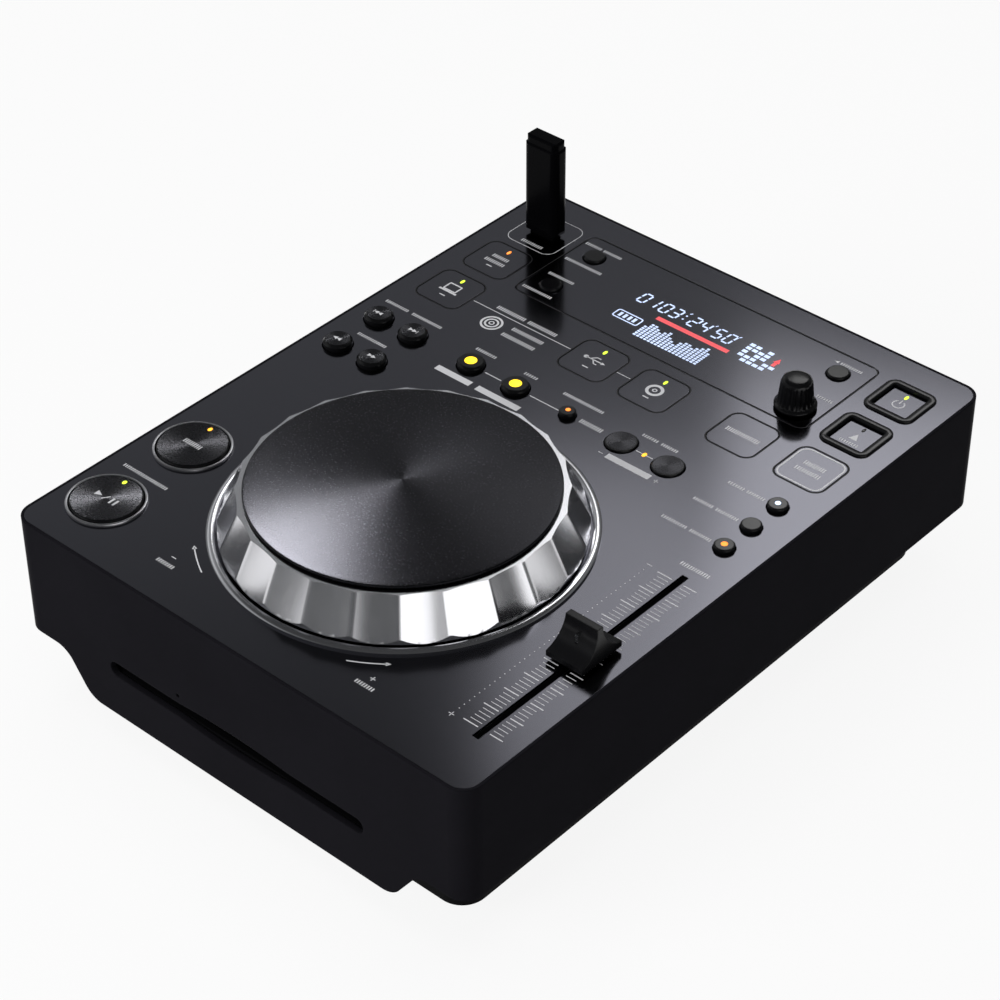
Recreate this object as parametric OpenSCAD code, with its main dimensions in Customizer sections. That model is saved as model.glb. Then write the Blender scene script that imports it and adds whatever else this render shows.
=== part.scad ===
// Tabletop disc player for a disc jockey's set: a slot-loading drive in a
// moulded case, under a control panel with a jog wheel, a tempo fader and keys.
// Millimetres. The origin is on the table, under the middle of the case.
// +X is to the user's right, +Y to the back and +Z up.

/* [Case] */
// Width of the case
case_w = 218; // [212:1:230]
// Depth of the case
case_d = 290; // [286:1:306]
// Height of the control panel's top face above the table
panel_z = 82; // [81:0.5:90]
// Radius of the case's upright corners
corner_r = 8; // [6:0.5:11]
// Thickness of the moulded case walls
wall = 2.5; // [2:0.1:3]
// Height of the side walls' bottom edge above the table
skirt_z = 32; // [30:0.5:32.5]
// Height of the front apron's bottom edge above the table
apron_z = 15; // [13:0.5:17]
// Width of the front apron between the corners of its bottom edge
apron_w = 150; // [144:1:156]
// Slope of the apron's shoulders
apron_slope = 55; // [48:1:60]
// Radius of the curves at the apron's shoulders
apron_r = 10; // [6:0.5:11]

/* [Lower case] */
// Step from the case's front and sides to the tub under it
tub_inset = 15; // [14:0.5:17]
// Step from the case's back to the tub
tub_back_inset = 12; // [10:0.5:14]
// Radius of the tub's upright corners
tub_r = 10; // [6:0.5:14]
// Thickness of the tub's floor
floor_t = 2.5; // [2:0.1:3]
// Height of the rubber feet
foot_h = 7.3; // [6.5:0.1:8]
// Radius of a foot at the table
foot_r = 9; // [7:0.5:11]
// Width of the tub's nose behind the apron
nose_w = 136; // [130:1:140]
// Radius of the case screws
screw_r = 1.45; // [1.2:0.05:1.7]

/* [Control panel] */
// Thickness of the brushed control panel
panel_t = 1.2; // [1:0.1:1.6]
// Width of the moulded rim round the control panel
rim = 1.2; // [0.8:0.1:2]
// Thickness of the case's deck under the panel
deck_t = 2.5; // [2:0.1:3]
// Distance of the outer key columns from the case's sides
key_col_inset = 20.6; // [20:0.1:23]
// Distance of the rear key row from the case's back
key_row_inset = 25.5; // [24:0.5:27]
// Pitch of the key rows
key_pitch = 27.65; // [27:0.05:28.2]
// Side of a square key's hole
key_size = 22; // [21:0.1:22.6]
// Corner radius of a square key's hole
key_r = 4.5; // [3:0.1:5]
// Gap round each key and button
key_gap = 0.4; // [0.3:0.05:0.5]
// Travel of each key and button
key_travel = 0.8; // [0.5:0.1:0.9]
// Side of the power and eject keys' holes
guarded_key = 15.6; // [14:0.1:16]
// Height of the frames round the power and eject keys
guard_h = 0.8; // [0.5:0.1:1.5]
// Depth of the power and eject keys below the panel
guarded_sink = 0.6; // [0.3:0.1:0.8]

/* [Buttons] */
// Radius of the cue and play buttons
play_r = 13.5; // [12:0.1:14]
// Height of the cue and play buttons above the panel
play_h = 1.6; // [1:0.1:2.5]
// Distance of the cue and play buttons from the case's left side
play_col_inset = 19.65; // [18.5:0.1:21]
// Distance of the play button from the case's front
play_row_inset = 27.7; // [24:0.1:30]
// Pitch of the cue and play buttons
play_pitch = 42.5; // [36:0.5:46]
// Width of the metal rings round the cue and play buttons
ring_w = 1.1; // [0.8:0.1:1.5]
// Radius of the track and search buttons
track_r = 5.8; // [5:0.1:6.2]
// Height of the track and search buttons
track_h = 2.8; // [2:0.1:3.5]
// Radius of the two loop buttons
loop_r = 5.5; // [5:0.1:6]
// Height of the two loop buttons
loop_h = 2.3; // [1.5:0.1:3]
// Radius of the beat loop buttons
beat_r = 6.2; // [5.5:0.1:6.6]
// Height of the beat loop buttons
beat_h = 0.8; // [0.5:0.1:1.5]
// Radius of the small buttons in the display window
menu_r = 4.5; // [4:0.1:5]
// Height of the small buttons in the display window
menu_h = 1.2; // [0.8:0.1:2]
// Radius of the tempo mode buttons
mode_r = 3.9; // [3.4:0.1:4.4]
// Height of the tempo mode buttons
mode_h = 1.9; // [1:0.1:2.5]
// Radius of the loop exit button
exit_r = 3.3; // [3:0.1:4]

/* [Display] */
// Width of the display window
window_w = 143; // [140:0.5:146]
// Depth of the display window, front to back
window_d = 50; // [49:0.5:51]
// Gap round the display window
window_gap = 0.5; // [0.3:0.05:0.7]
// Distance of the window's buttons from its left and right sides
menu_inset = 11.2; // [10:0.1:13]
// Width of the display tube
tube_w = 88; // [80:1:90]
// Depth of the display tube, front to back
tube_d = 32; // [28:1:34]

/* [Jog wheel] */
// Distance of the jog wheel's axis from the case's front
jog_front = 88; // [87:0.5:90]
// Radius of the jog wheel
jog_r = 66; // [64:0.5:66.4]
// Radius of the jog wheel over its ridges, at the top
jog_top_r = 59.3; // [58.5:0.1:60.5]
// Number of flutes round the jog wheel
jog_flutes = 24; // [20:1:28]
// Radius of the flutes' hollow
flute_r = 66; // [50:1:90]
// Height of the jog wheel's rim above the panel
jog_h = 17.4; // [15:0.1:19]
// Gap between the jog wheel and the panel
jog_lift = 1; // [0.8:0.1:1.4]
// Height of the jog wheel's plain edge, up to the ridges
jog_lip = 2.8; // [2:0.1:3.4]
// Wall of the jog wheel
jog_wall = 3; // [2.4:0.1:3.4]
// Radius of the touch disc on the jog wheel
disc_r = 56.4; // [54:0.1:57]
// Thickness of the touch disc
disc_t = 1.1; // [0.9:0.1:2]
// Travel of the touch disc
touch_travel = 0.3; // [0.2:0.05:0.4]
// Radius of the jog wheel's shaft
jog_shaft_r = 3; // [2.5:0.1:4]
// Radius of the metal ring round the jog wheel
jog_ring_r = 70; // [69:0.1:71.5]
// Width of the metal ring round the jog wheel
jog_ring_w = 3.3; // [2.6:0.1:3.4]
// Height of the metal ring round the jog wheel
jog_ring_h = 1.6; // [1:0.1:2]

/* [Tempo fader] */
// Distance of the fader's slot from the case's right side
fader_inset = 16.6; // [16:0.1:18]
// Travel of the fader
fader_travel = 100; // [90:1:102]
// Width of the fader's slot
fader_slot = 2.8; // [2.4:0.1:3.4]
// Width of the fader cap at its foot
cap_w = 16; // [14:0.5:18]
// Length of the fader cap at its foot
cap_l = 20.4; // [18:0.2:22]
// Height of the fader cap's top above the panel
cap_h = 15.2; // [13:0.2:17]
// Radius of the finger hollows in the fader cap
cap_hollow = 11; // [10:0.5:12]

/* [Selector knob] */
// Radius of the selector knob at its foot
knob_r = 7; // [6.5:0.1:7.4]
// Radius of the selector knob at its top
knob_top_r = 6; // [5:0.1:6.5]
// Height of the selector knob above the panel
knob_h = 13; // [11:0.5:15]
// Radius of the skirt at the knob's foot
knob_skirt_r = 8.2; // [7.5:0.1:8.6]
// Radius of the selector's shaft
selector_shaft_r = 3; // [2.5:0.1:3.2]
// Travel of the selector when pushed
selector_travel = 0.5; // [0.3:0.1:0.6]

/* [Memory stick] */
// Width of the memory stick
stick_w = 17; // [15:0.1:18]
// Thickness of the memory stick
stick_d = 8.2; // [7:0.1:9]
// Length of the memory stick's body with its end cap
stick_l = 43.8; // [36:0.2:50]
// Gap between the memory stick's body and the panel
stick_gap = 2; // [1.6:0.2:4]
// Length of the memory stick's end cap
stick_cap_l = 3.6; // [2:0.2:12]
// Step from the memory stick's body to its end cap
stick_step = 0.6; // [0.4:0.1:1.4]
// Radius of the memory stick's long edges
stick_round = 3; // [2:0.1:3.2]

/* [Drive] */
// Half width of the drive's chassis
drive_half_w = 73; // [71:0.5:75]
// Thickness of the drive's sheet metal
sheet_t = 1.2; // [1:0.1:1.4]
// Height of the rubber dampers under the drive
damper_h = 3; // [2.6:0.1:3.4]
// Distance of the turntable's axis from the case's front
spindle_front = 80; // [79:0.5:82]
// Rise of the turntable when a disc is clamped
turntable_rise = 5; // [4.6:0.1:5.2]
// Lift of the clamper when it lets go of the disc
clamper_lift = 4; // [3.8:0.1:4.2]
// Radius of the turntable
turntable_r = 15; // [13:0.5:16]
// Travel of the pickup sled
sled_travel = 34; // [30:1:35]
// Travel of the cam that lifts the turntable
cam_travel = 15; // [12:1:18]
// Radius of the feed roller
roller_r = 4.5; // [4:0.1:4.6]
// Module of the loading gears
gear_m = 0.8; // [0.75:0.01:0.85]
// Teeth of the feed roller's gear
roller_teeth = 24; // [20:1:26]
// Teeth of the loading motor's pinion
pinion_teeth = 10; // [9:1:12]

/* [Back] */
// Width of the recess in the back
recess_w = 176; // [170:1:180]
// Height of the recess in the back
recess_h = 26; // [24:0.5:27]
// Depth of the recess in the back
recess_depth = 11; // [10.5:0.1:12]

/* [Hidden] */
$fn = 64;
cut = 1;            // how far a cutting tool runs past the face it cuts
run_fit = 0.05;     // radial clearance of a shaft that turns in a bore
free_gap = 0.35;    // clearance of pieces that move past each other
seam = 0.25;        // clearance between the upper and the lower case

// levels
deck_z = panel_z - panel_t - deck_t;
floor_z = foot_h + floor_t;
flange_t = 2.5;
flange_z = skirt_z + flange_t;
board_t = 1.6;
board_z = deck_z - 8.8;
switch_h = 5;
switch_z = board_z + switch_h;

// panel layout
front = -case_d / 2;
back = case_d / 2;
panel_w = case_w - 2 * rim;
panel_d = case_d - 2 * rim;
key_col = case_w / 2 - key_col_inset;
key_row_1 = back - key_row_inset;
key_row_2 = key_row_1 - key_pitch;
key_row_3 = key_row_2 - key_pitch;
playlist_step = 31.4;   // from the right key column to the playlist key
menu_col = window_w / 2 - menu_inset;
menu_row = key_row_1 - 0.8;
usb_pos = [-key_col + 1.8, key_row_1 - 0.5];
window_pos = [0.5, (key_row_1 + key_row_2) / 2 + 0.3];
tube_pos = [4, window_pos[1] - 5];
jog_pos = [0, front + jog_front];
loop_row = jog_pos[1] + 88.1;
search_row = loop_row - 23.5;
track_col = case_w / 2 - 13.5;
track_pitch = 18;
mode_col = case_w / 2 - 16.3;
mode_pitch = 15.4;
mode_row = loop_row - 7.8;
fader_pos = [case_w / 2 - fader_inset, jog_pos[1] - 10.65];
play_col = -case_w / 2 + play_col_inset;
play_row = front + play_row_inset;

power_pos = [key_col, key_row_1];
eject_pos = [key_col, key_row_2];
beat_lock_pos = [key_col, key_row_3];
playlist_pos = [key_col - playlist_step, key_row_3];
disc_source_pos = [15, key_row_3];
usb_source_pos = [-14.7, key_row_3];
computer_source_pos = [-key_col, key_row_3];
usb_stop_pos = [-key_col, key_row_2];
time_pos = [-menu_col, menu_row];
menu_pos = [-menu_col, key_row_2];
back_pos = [menu_col, menu_row];
selector_pos = [menu_col + 0.3, key_row_2 - 0.3];
track_back_pos = [-track_col, loop_row - 0.6];
track_next_pos = [-track_col + track_pitch, loop_row - 0.6];
search_back_pos = [-track_col, search_row];
search_next_pos = [-track_col + track_pitch, search_row];
loop_in_pos = [-47.8, loop_row];
loop_out_pos = [-25.2, loop_row];
loop_exit_pos = [0.5, loop_row];
beat_half_pos = [26.5, loop_row];
beat_double_pos = [48.5, loop_row];
vinyl_mode_pos = [mode_col, mode_row + mode_pitch];
tempo_range_pos = [mode_col, mode_row];
master_tempo_pos = [mode_col, mode_row - mode_pitch];
play_pos = [play_col, play_row];
cue_pos = [play_col, play_row + play_pitch];

SQUARE_KEYS = [
    beat_lock_pos, playlist_pos, disc_source_pos, usb_source_pos,
    computer_source_pos, usb_stop_pos
];
GUARDED_KEYS = [power_pos, eject_pos];
MENU_BUTTONS = [time_pos, menu_pos, back_pos];
TRACK_BUTTONS = [track_back_pos, track_next_pos, search_back_pos, search_next_pos];
LOOP_BUTTONS = [loop_in_pos, loop_out_pos];
BEAT_BUTTONS = [beat_half_pos, beat_double_pos];
MODE_BUTTONS = [vinyl_mode_pos, tempo_range_pos, master_tempo_pos];
PLAY_BUTTONS = [cue_pos, play_pos];
SWITCHES = concat(
    SQUARE_KEYS, GUARDED_KEYS, MENU_BUTTONS, TRACK_BUTTONS, LOOP_BUTTONS,
    [loop_exit_pos], BEAT_BUTTONS, MODE_BUTTONS, PLAY_BUTTONS
);

// case posts and screws, in the strip between the tub and the side walls
post_r = 3.5;
post_x = case_w / 2 - wall - post_r - seam;
POSTS = [for (s = [-1, 1], y = [front + 49, front + 125, back - 33]) [s * post_x, y]];
board_post_r = 3;
BOARD_POSTS = [
    [-70, front + 17], [70, front + 17], [-40, loop_row + 15.4],
    [40, loop_row + 15.4], [-40, back - 8.5], [40, back - 8.5]
];

// jog wheel levels
jog_bottom = panel_z + jog_lift;
jog_rim_z = panel_z + jog_h;
hub_r = 8;
guide_r = 6;        // boss that guides the touch disc in the wheel's hub
bearing_r = 7.5;
touch_gap = 0.2;    // left under the touch disc at the end of its travel
disc_z = jog_rim_z + touch_travel + touch_gap;

// drive levels, with the disc clamped and playing
drive_z = floor_z + damper_h;
play_z = drive_z + 23.5;
disc_thick = 1.2;
bay_r = 60;
spindle_y = front + spindle_front;
drive_front = front + tub_inset + wall + 0.5;
drive_back = spindle_y + 87;
cover_z = drive_z + 37.2;
hinge_y = spindle_y + 77;
hinge_z = drive_z + 10.6;
hinge_pin_r = 2;
traverse_deg = asin(turntable_rise / (hinge_y - spindle_y));
clamp_hinge_y = spindle_y + 73;
clamp_hinge_z = play_z + disc_thick + 4.6;
clamp_deg = asin(clamper_lift / (clamp_hinge_y - spindle_y));
slot_z = play_z + 1.45;
slot_h = 6.5;
slot_w = 124.5;

// ---------------------------------------------------------------- helpers

module rounded(w, d, r) {
    square([w - 2 * r, d], center = true);
    square([w, d - 2 * r], center = true);
    for (x = [-1, 1], y = [-1, 1])
        translate([x * (w / 2 - r), y * (d / 2 - r)])
            circle(r);
}

module slab(z, h, w, d, r) {
    translate([0, 0, z])
        linear_extrude(h)
            rounded(w, d, r);
}

// box from one corner to the opposite one
module span(a, b) {
    translate(a)
        cube(b - a);
}

module place(p) {
    translate([p[0], p[1], 0])
        children();
}

module place_all(points) {
    for (p = points)
        place(p)
            children();
}

// rod along X or Y from one end, with a given length
module x_rod(p, l, r) {
    translate(p)
        rotate([0, 90, 0])
            cylinder(h = l, r = r);
}

module y_rod(p, l, r) {
    translate(p)
        rotate([-90, 0, 0])
            cylinder(h = l, r = r);
}

// the moving drive parts are drawn as when playing, and rest let down
module lowered() {
    translate([0, hinge_y, hinge_z])
        rotate([traverse_deg, 0, 0])
            translate([0, -hinge_y, -hinge_z])
                children();
}

module lifted() {
    translate([0, clamp_hinge_y, clamp_hinge_z])
        rotate([-clamp_deg, 0, 0])
            translate([0, -clamp_hinge_y, -clamp_hinge_z])
                children();
}

// ------------------------------------------------------- openings in 2D

// holes for what stands in the panel outside the display window
module panel_holes() {
    place_all(SQUARE_KEYS)
        rounded(key_size, key_size, key_r);
    place_all(GUARDED_KEYS)
        square(guarded_key, center = true);
    place_all(TRACK_BUTTONS)
        circle(track_r + key_gap);
    place_all(LOOP_BUTTONS)
        circle(loop_r + key_gap);
    place(loop_exit_pos)
        circle(exit_r + key_gap);
    place_all(BEAT_BUTTONS)
        circle(beat_r + key_gap);
    place_all(MODE_BUTTONS)
        circle(mode_r + key_gap);
    place_all(PLAY_BUTTONS)
        circle(play_r + key_gap);
    place(fader_pos)
        square([fader_slot, fader_travel + lever_l + 2 * free_gap], center = true);
    place(jog_pos)
        circle(bearing_r);
}

// holes for what stands in the display window
module window_holes() {
    place_all(MENU_BUTTONS)
        circle(menu_r + key_gap);
    place(selector_pos)
        circle(bush_r + key_gap);
}

// ------------------------------------------------------------------ case

// points on an arc, from one angle to another in equal steps
function arc(c, r, a0, a1, steps) =
    [for (i = [0:steps]) let (a = a0 + (a1 - a0) * i / steps) c + r * [cos(a), sin(a)]];

// half outline of the apron below the side walls, from its middle outwards
module apron_half() {
    foot = apron_w / 2;
    top = foot + (skirt_z - apron_z) / tan(apron_slope);
    lead = apron_r * tan(apron_slope / 2);
    steps = 12;
    polygon(concat(
        [[0, skirt_z + cut], [0, apron_z]],
        arc([foot - lead, apron_z + apron_r], apron_r, -90, apron_slope - 90, steps),
        arc([top + lead, skirt_z - apron_r], apron_r, apron_slope + 90, 90, steps),
        [[top + lead, skirt_z + cut]]
    ));
}

module apron() {
    translate([0, front + wall, 0])
        rotate([90, 0, 0])
            linear_extrude(wall) {
                apron_half();
                mirror([1, 0])
                    apron_half();
            }
}

// outline of the disc slot: a straight slot that swells at its middle
module slot_outline() {
    swell = 9;
    swell_w = 104;
    swell_r = (pow(swell_w / 2, 2) + pow(swell / 2, 2)) / swell;
    rounded(slot_w, slot_h, slot_h / 2 - 0.1);
    intersection() {
        translate([0, swell_r - swell / 2])
            circle(swell_r, $fn = 360);
        translate([0, swell / 2 - swell_r])
            circle(swell_r, $fn = 360);
    }
}

recess_z = skirt_z + 19;    // middle of the recess above the table
recess_wall = 2;
recess_r = 2;

module recess_block(y0, y1, grow) {
    translate([0, y1, recess_z])
        rotate([90, 0, 0])
            linear_extrude(y1 - y0)
                rounded(recess_w + 2 * grow, recess_h + 2 * grow, recess_r + grow);
}

module upper_case() {
    color("#1c1b1f")
    difference() {
        union() {
            difference() {
                union() {
                    slab(skirt_z, panel_z - skirt_z, case_w, case_d, corner_r);
                    apron();
                }
                slab(skirt_z - cut, deck_z - skirt_z + cut,
                     case_w - 2 * wall, case_d - 2 * wall, corner_r - wall);
            }
            place_all(POSTS)
                translate([0, 0, flange_z])
                    cylinder(h = deck_z - flange_z, r = post_r);
            place_all(BOARD_POSTS)
                translate([0, 0, board_z])
                    cylinder(h = deck_z - board_z, r = board_post_r);
            recess_block(back - recess_depth, back - wall, recess_wall);
        }
        slab(panel_z - panel_t, panel_t + cut, panel_w, panel_d, corner_r - rim);
        translate([0, 0, deck_z - cut])
            linear_extrude(deck_t + 2 * cut) {
                panel_holes();
                window_holes();
                place(tube_pos)
                    square([tube_w, tube_d], center = true);
                place(usb_pos)
                    square([port_w + 2 * seam, port_d + 2 * seam], center = true);
            }
        translate([0, front + wall + cut, slot_z])
            rotate([90, 0, 0])
                linear_extrude(wall + 2 * cut)
                    slot_outline();
        // pinhole that lets a stuck disc out
        y_rod([-27, front - cut, slot_z + 6.75], wall + 2 * cut, 0.8);
        recess_block(back - recess_depth - cut, back + cut, 0);
        place_all(POSTS)
            translate([0, 0, flange_z - cut])
                cylinder(h = 10 + cut, r = screw_r);
    }
}

module top_panel() {
    color("#5b5b63")
    difference() {
        slab(panel_z - panel_t, panel_t, panel_w, panel_d, corner_r - rim);
        translate([0, 0, panel_z - panel_t - cut])
            linear_extrude(panel_t + 2 * cut) {
                panel_holes();
                place(window_pos)
                    rounded(window_w, window_d, window_r);
                place(usb_pos)
                    square([plug_w + 2 * free_gap, plug_d + 2 * free_gap], center = true);
            }
    }
}

// plan of the tub, grown by a margin, from its front to its back wall
module tub_plan(grow) {
    tub_w = case_w - 2 * tub_inset;
    tub_front = front + tub_inset;
    tub_back = back - tub_back_inset;
    translate([0, (tub_front + tub_back) / 2])
        rounded(tub_w + 2 * grow, tub_back - tub_front + 2 * grow, tub_r + grow);
}

nose_front = front + wall + seam;
nose_top = skirt_z + 0.5;
standoff_r = 3.5;
// the two boards lie side by side behind the drive, with their edges named
board_rim = 6;          // from a board's side to its standoffs
board_gap = 5;
supply_w = 49;
supply_right = case_w / 2 - tub_inset - wall - 1.5;
supply_left = supply_right - supply_w;
supply_z = floor_z + 4.5;
main_right = supply_left - board_gap;
main_left = -case_w / 2 + tub_inset + 3;
main_z = skirt_z + 8;
STANDOFFS = [
    for (x = [main_left + board_rim - 1, main_right - board_rim], y = [drive_back + 10, back - 26])
        [x, y]
];
SUPPLY_POSTS = [
    for (x = [supply_left + board_rim, supply_right - board_rim], y = [drive_back + 10, back - 26])
        [x, y]
];

module lower_case() {
    color("#26252a")
    difference() {
        union() {
            difference() {
                union() {
                    translate([0, 0, foot_h])
                        linear_extrude(flange_z - foot_h)
                            tub_plan(0);
                    slab(skirt_z, flange_t, case_w - 2 * (wall + seam),
                         case_d - 2 * (wall + seam), corner_r - wall - seam);
                    span([-nose_w / 2, nose_front, apron_z],
                         [nose_w / 2, front + tub_inset + wall, skirt_z + cut]);
                }
                translate([0, 0, floor_z])
                    linear_extrude(flange_z - floor_z + cut)
                        tub_plan(-wall);
                span([-nose_w / 2 + wall, nose_front + wall, apron_z + wall],
                     [nose_w / 2 - wall, front + tub_inset + wall + cut, flange_z + cut]);
            }
            place_all(STANDOFFS)
                translate([0, 0, floor_z])
                    cylinder(h = main_z - floor_z, r = standoff_r);
            place_all(SUPPLY_POSTS)
                translate([0, 0, floor_z])
                    cylinder(h = supply_z - floor_z, r = standoff_r);
        }
        place_all(POSTS)
            translate([0, 0, skirt_z - cut])
                cylinder(h = flange_t + 2 * cut, r = screw_r + 0.15);
        // vent slots in the floor under the power supply
        for (i = [0:6])
            span([supply_left + 7 + 6 * i, drive_back + 18, foot_h - cut],
                 [supply_left + 9.5 + 6 * i, back - 52, floor_z + cut]);
    }
}

FEET = [for (x = [-1, 1], y = [front + 36, back - 36]) [x * (case_w / 2 - 36), y]];

module feet() {
    color("#151515")
    place_all(FEET)
        rotate_extrude()
            polygon([[0, 0], [foot_r - 0.8, 0], [foot_r, 0.8], [foot_r, 3],
                     [foot_r + 1.5, foot_h], [0, foot_h]]);
}

module case_screws() {
    color("#8a8a8e")
    place_all(POSTS) {
        translate([0, 0, skirt_z])
            cylinder(h = 11, r = screw_r);
        difference() {
            translate([0, 0, skirt_z - 2])
                cylinder(h = 2, r = 2 * screw_r);
            for (a = [0, 90])
                translate([0, 0, skirt_z - 1.6])
                    rotate([0, 0, a])
                        cube([3, 0.7, 2], center = true);
        }
    }
}

// -------------------------------------------------- display and boards

window_r = 3;

module display_window() {
    color("#4a4a52")
    difference() {
        place(window_pos)
            slab(panel_z - panel_t, panel_t, window_w - 2 * window_gap,
                 window_d - 2 * window_gap, window_r - window_gap);
        translate([0, 0, panel_z - panel_t - cut])
            linear_extrude(panel_t + 2 * cut)
                window_holes();
    }
}

module display_module() {
    glass_t = 6;
    color("#101418")
    place(tube_pos) {
        translate([-tube_w / 2 + 2, -tube_d / 2 + 1, deck_z - glass_t - 0.5])
            cube([tube_w - 4, tube_d - 2, glass_t]);
        translate([-tube_w / 2, -tube_d / 2, board_z])
            cube([tube_w, tube_d, deck_z - glass_t - 0.5 - board_z]);
    }
}

port_w = 14.4;
port_d = 7.2;
plug_w = 12;
plug_d = 4.5;
plug_in = 11;           // how far the plug reaches below the panel
bush_r = 3.8;
encoder_w = 13;
encoder_h = 6;
bush_top = panel_z - 0.6;
encoder_disc_r = 20;
encoder_disc_z = board_z - board_t - 5;
track_w = 12;
track_l = fader_travel + 20;

module key_board() {
    board_front = front + 12;
    board_back = back - 5;
    color("#1e4a2e")
    difference() {
        union() {
            span([-case_w / 2 + 11, board_front, board_z - board_t],
                 [case_w / 2 - 11, board_back, board_z]);
            place_all(SWITCHES) {
                translate([-3, -3, board_z])
                    cube([6, 6, 3.5]);
                translate([0, 0, board_z])
                    cylinder(h = switch_h, r = 1.6);
            }
            place(selector_pos) {
                translate([-encoder_w / 2, -encoder_w / 2, board_z])
                    cube([encoder_w, encoder_w, encoder_h]);
                translate([0, 0, board_z])
                    cylinder(h = bush_top - board_z, r = bush_r);
            }
            // light gate that reads the jog wheel's slotted disc
            place(jog_pos)
                span([encoder_disc_r - 5, -5, encoder_disc_z - 4],
                     [encoder_disc_r + 4, 5, board_z - board_t]);
            place(usb_pos)
                difference() {
                    span([-port_w / 2, -port_d / 2, board_z],
                         [port_w / 2, port_d / 2, panel_z - panel_t]);
                    span([-plug_w / 2 - free_gap, -plug_d / 2 - free_gap, board_z + 0.8],
                         [plug_w / 2 + free_gap, plug_d / 2 + free_gap, panel_z]);
                }
            // contact tongue of the port
            place(usb_pos)
                span([-4.9, -0.7, board_z], [4.9, 0.9, panel_z - 3]);
        }
        place(fader_pos)
            translate([0, 0, board_z - board_t / 2])
                cube([track_w + 2, track_l + 4, board_t + 2 * cut], center = true);
        place(jog_pos)
            translate([0, 0, board_z - board_t - cut])
                cylinder(h = board_t + 2 * cut, r = bearing_r + 1);
        place(jog_pos)
            span([0, -6, encoder_disc_z - 1], [encoder_disc_r + 1.5, 6, encoder_disc_z + 2]);
        place(selector_pos)
            translate([0, 0, board_z + 1])
                cylinder(h = bush_top - board_z, r = selector_shaft_r + run_fit);
    }
}

module main_board() {
    color("#20503a")
    difference() {
        union() {
            span([main_left, drive_back + 5, main_z], [main_right, back - 16, main_z + board_t]);
            // processor under its heat spreader, memories and converters
            for (p = [[-60, 50, 24, 4], [-20, 55, 16, 2], [8, 55, 12, 2], [-20, 84, 14, 2],
                      [14, 84, 10, 6], [-62, 90, 12, 3]])
                translate([p[0], p[1], main_z + board_t])
                    cube([p[2], p[2], p[3]]);
            for (i = [0:4])
                translate([main_left + 11 + 12 * i, back - 40, main_z + board_t])
                    cylinder(h = 9, r = 3);
        }
        place_all(STANDOFFS)
            translate([0, 0, main_z - cut])
                cylinder(h = board_t + 2 * cut, r = 1.3);
    }
}

module power_supply() {
    color("#6a5a2a")
    translate([supply_left, drive_back, supply_z]) {
        span([0, 5, 0], [supply_w, back - 20 - drive_back, board_t]);
        // transformer, heat sink, large and small capacitor, choke
        translate([0, 0, board_t]) {
            span([5, 36, 0], [29, 60, 20]);
            span([35, 20, 0], [38, 62, 19]);
            translate([15, 22, 0])
                cylinder(h = 16, r = 8);
            translate([19, 74, 0])
                cylinder(h = 11, r = 5);
            span([29, 70, 0], [41, 82, 10]);
        }
    }
}

// ------------------------------------------------------------------ back

plate_y = back - recess_depth;
RCA = [-64, -50];
rca_r = 4.2;
control_x = -32;
usb_b_x = -8;
inlet_x = 62;
socket_out = plate_y + recess_depth - 2;

module rear_panel() {
    color("#2c2c30")
    difference() {
        recess_block(plate_y - sheet_t, plate_y, recess_wall);
        for (x = RCA)
            y_rod([x, plate_y - sheet_t - cut, recess_z], sheet_t + 2 * cut, rca_r);
        y_rod([control_x, plate_y - sheet_t - cut, recess_z], sheet_t + 2 * cut, rca_r - 0.7);
        span([usb_b_x - 6, plate_y - sheet_t - cut, recess_z - 5.5],
             [usb_b_x + 6, plate_y + cut, recess_z + 5.5]);
        span([inlet_x - 13, plate_y - sheet_t - cut, recess_z - 9],
             [inlet_x + 13, plate_y + cut, recess_z + 9]);
    }
}

module rear_sockets() {
    seat = main_z + board_t;
    y1 = plate_y - sheet_t;
    color("#b8b2a6") {
        // phono jacks in one block
        difference() {
            union() {
                span([RCA[0] - 7, y1 - 12, seat], [RCA[1] + 7, y1, recess_z + 6]);
                for (x = RCA)
                    y_rod([x, y1 - cut, recess_z], socket_out - y1 + cut, rca_r);
            }
            for (x = RCA)
                y_rod([x, socket_out - 7, recess_z], 8, 1.6);
        }
        // control jack
        difference() {
            union() {
                span([control_x - 4, y1 - 12, seat], [control_x + 4, y1, recess_z + 4]);
                y_rod([control_x, y1 - cut, recess_z], 4 + cut, rca_r - 0.7);
            }
            y_rod([control_x, y1 - 8, recess_z], 14, 1.8);
        }
        // square data socket
        difference() {
            union() {
                span([usb_b_x - 6, y1 - 12, seat], [usb_b_x + 6, y1, recess_z + 5.5]);
                span([usb_b_x - 6, y1 - cut, recess_z - 5.5],
                     [usb_b_x + 6, plate_y + 1, recess_z + 5.5]);
            }
            span([usb_b_x - 4.3, y1 - 7, recess_z - 3.8],
                 [usb_b_x + 4.3, plate_y + 2, recess_z + 3.8]);
        }
        span([usb_b_x - 2.8, y1 - 8, recess_z - 1.5], [usb_b_x + 2.8, plate_y, recess_z + 1.5]);
        // mains inlet with its two pins
        difference() {
            span([inlet_x - 13, y1 - 16, recess_z - 9], [inlet_x + 13, plate_y + 2, recess_z + 9]);
            hull()
                for (x = [-4.5, 4.5])
                    y_rod([inlet_x + x, y1 - 12, recess_z], 18, 4.5);
        }
        for (x = [-4.3, 4.3])
            y_rod([inlet_x + x, y1 - 13, recess_z], 10, 1.2);
    }
}

// -------------------------------------------------------------- trims

// profile of the ring round the jog wheel, crowned between square edges
module jog_ring_profile() {
    crown = 2.2;
    intersection() {
        translate([jog_ring_r - jog_ring_w, 0])
            square([jog_ring_w, jog_ring_h + cut]);
        translate([jog_ring_r - jog_ring_w / 2, jog_ring_h - crown])
            circle(crown);
    }
}

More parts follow.
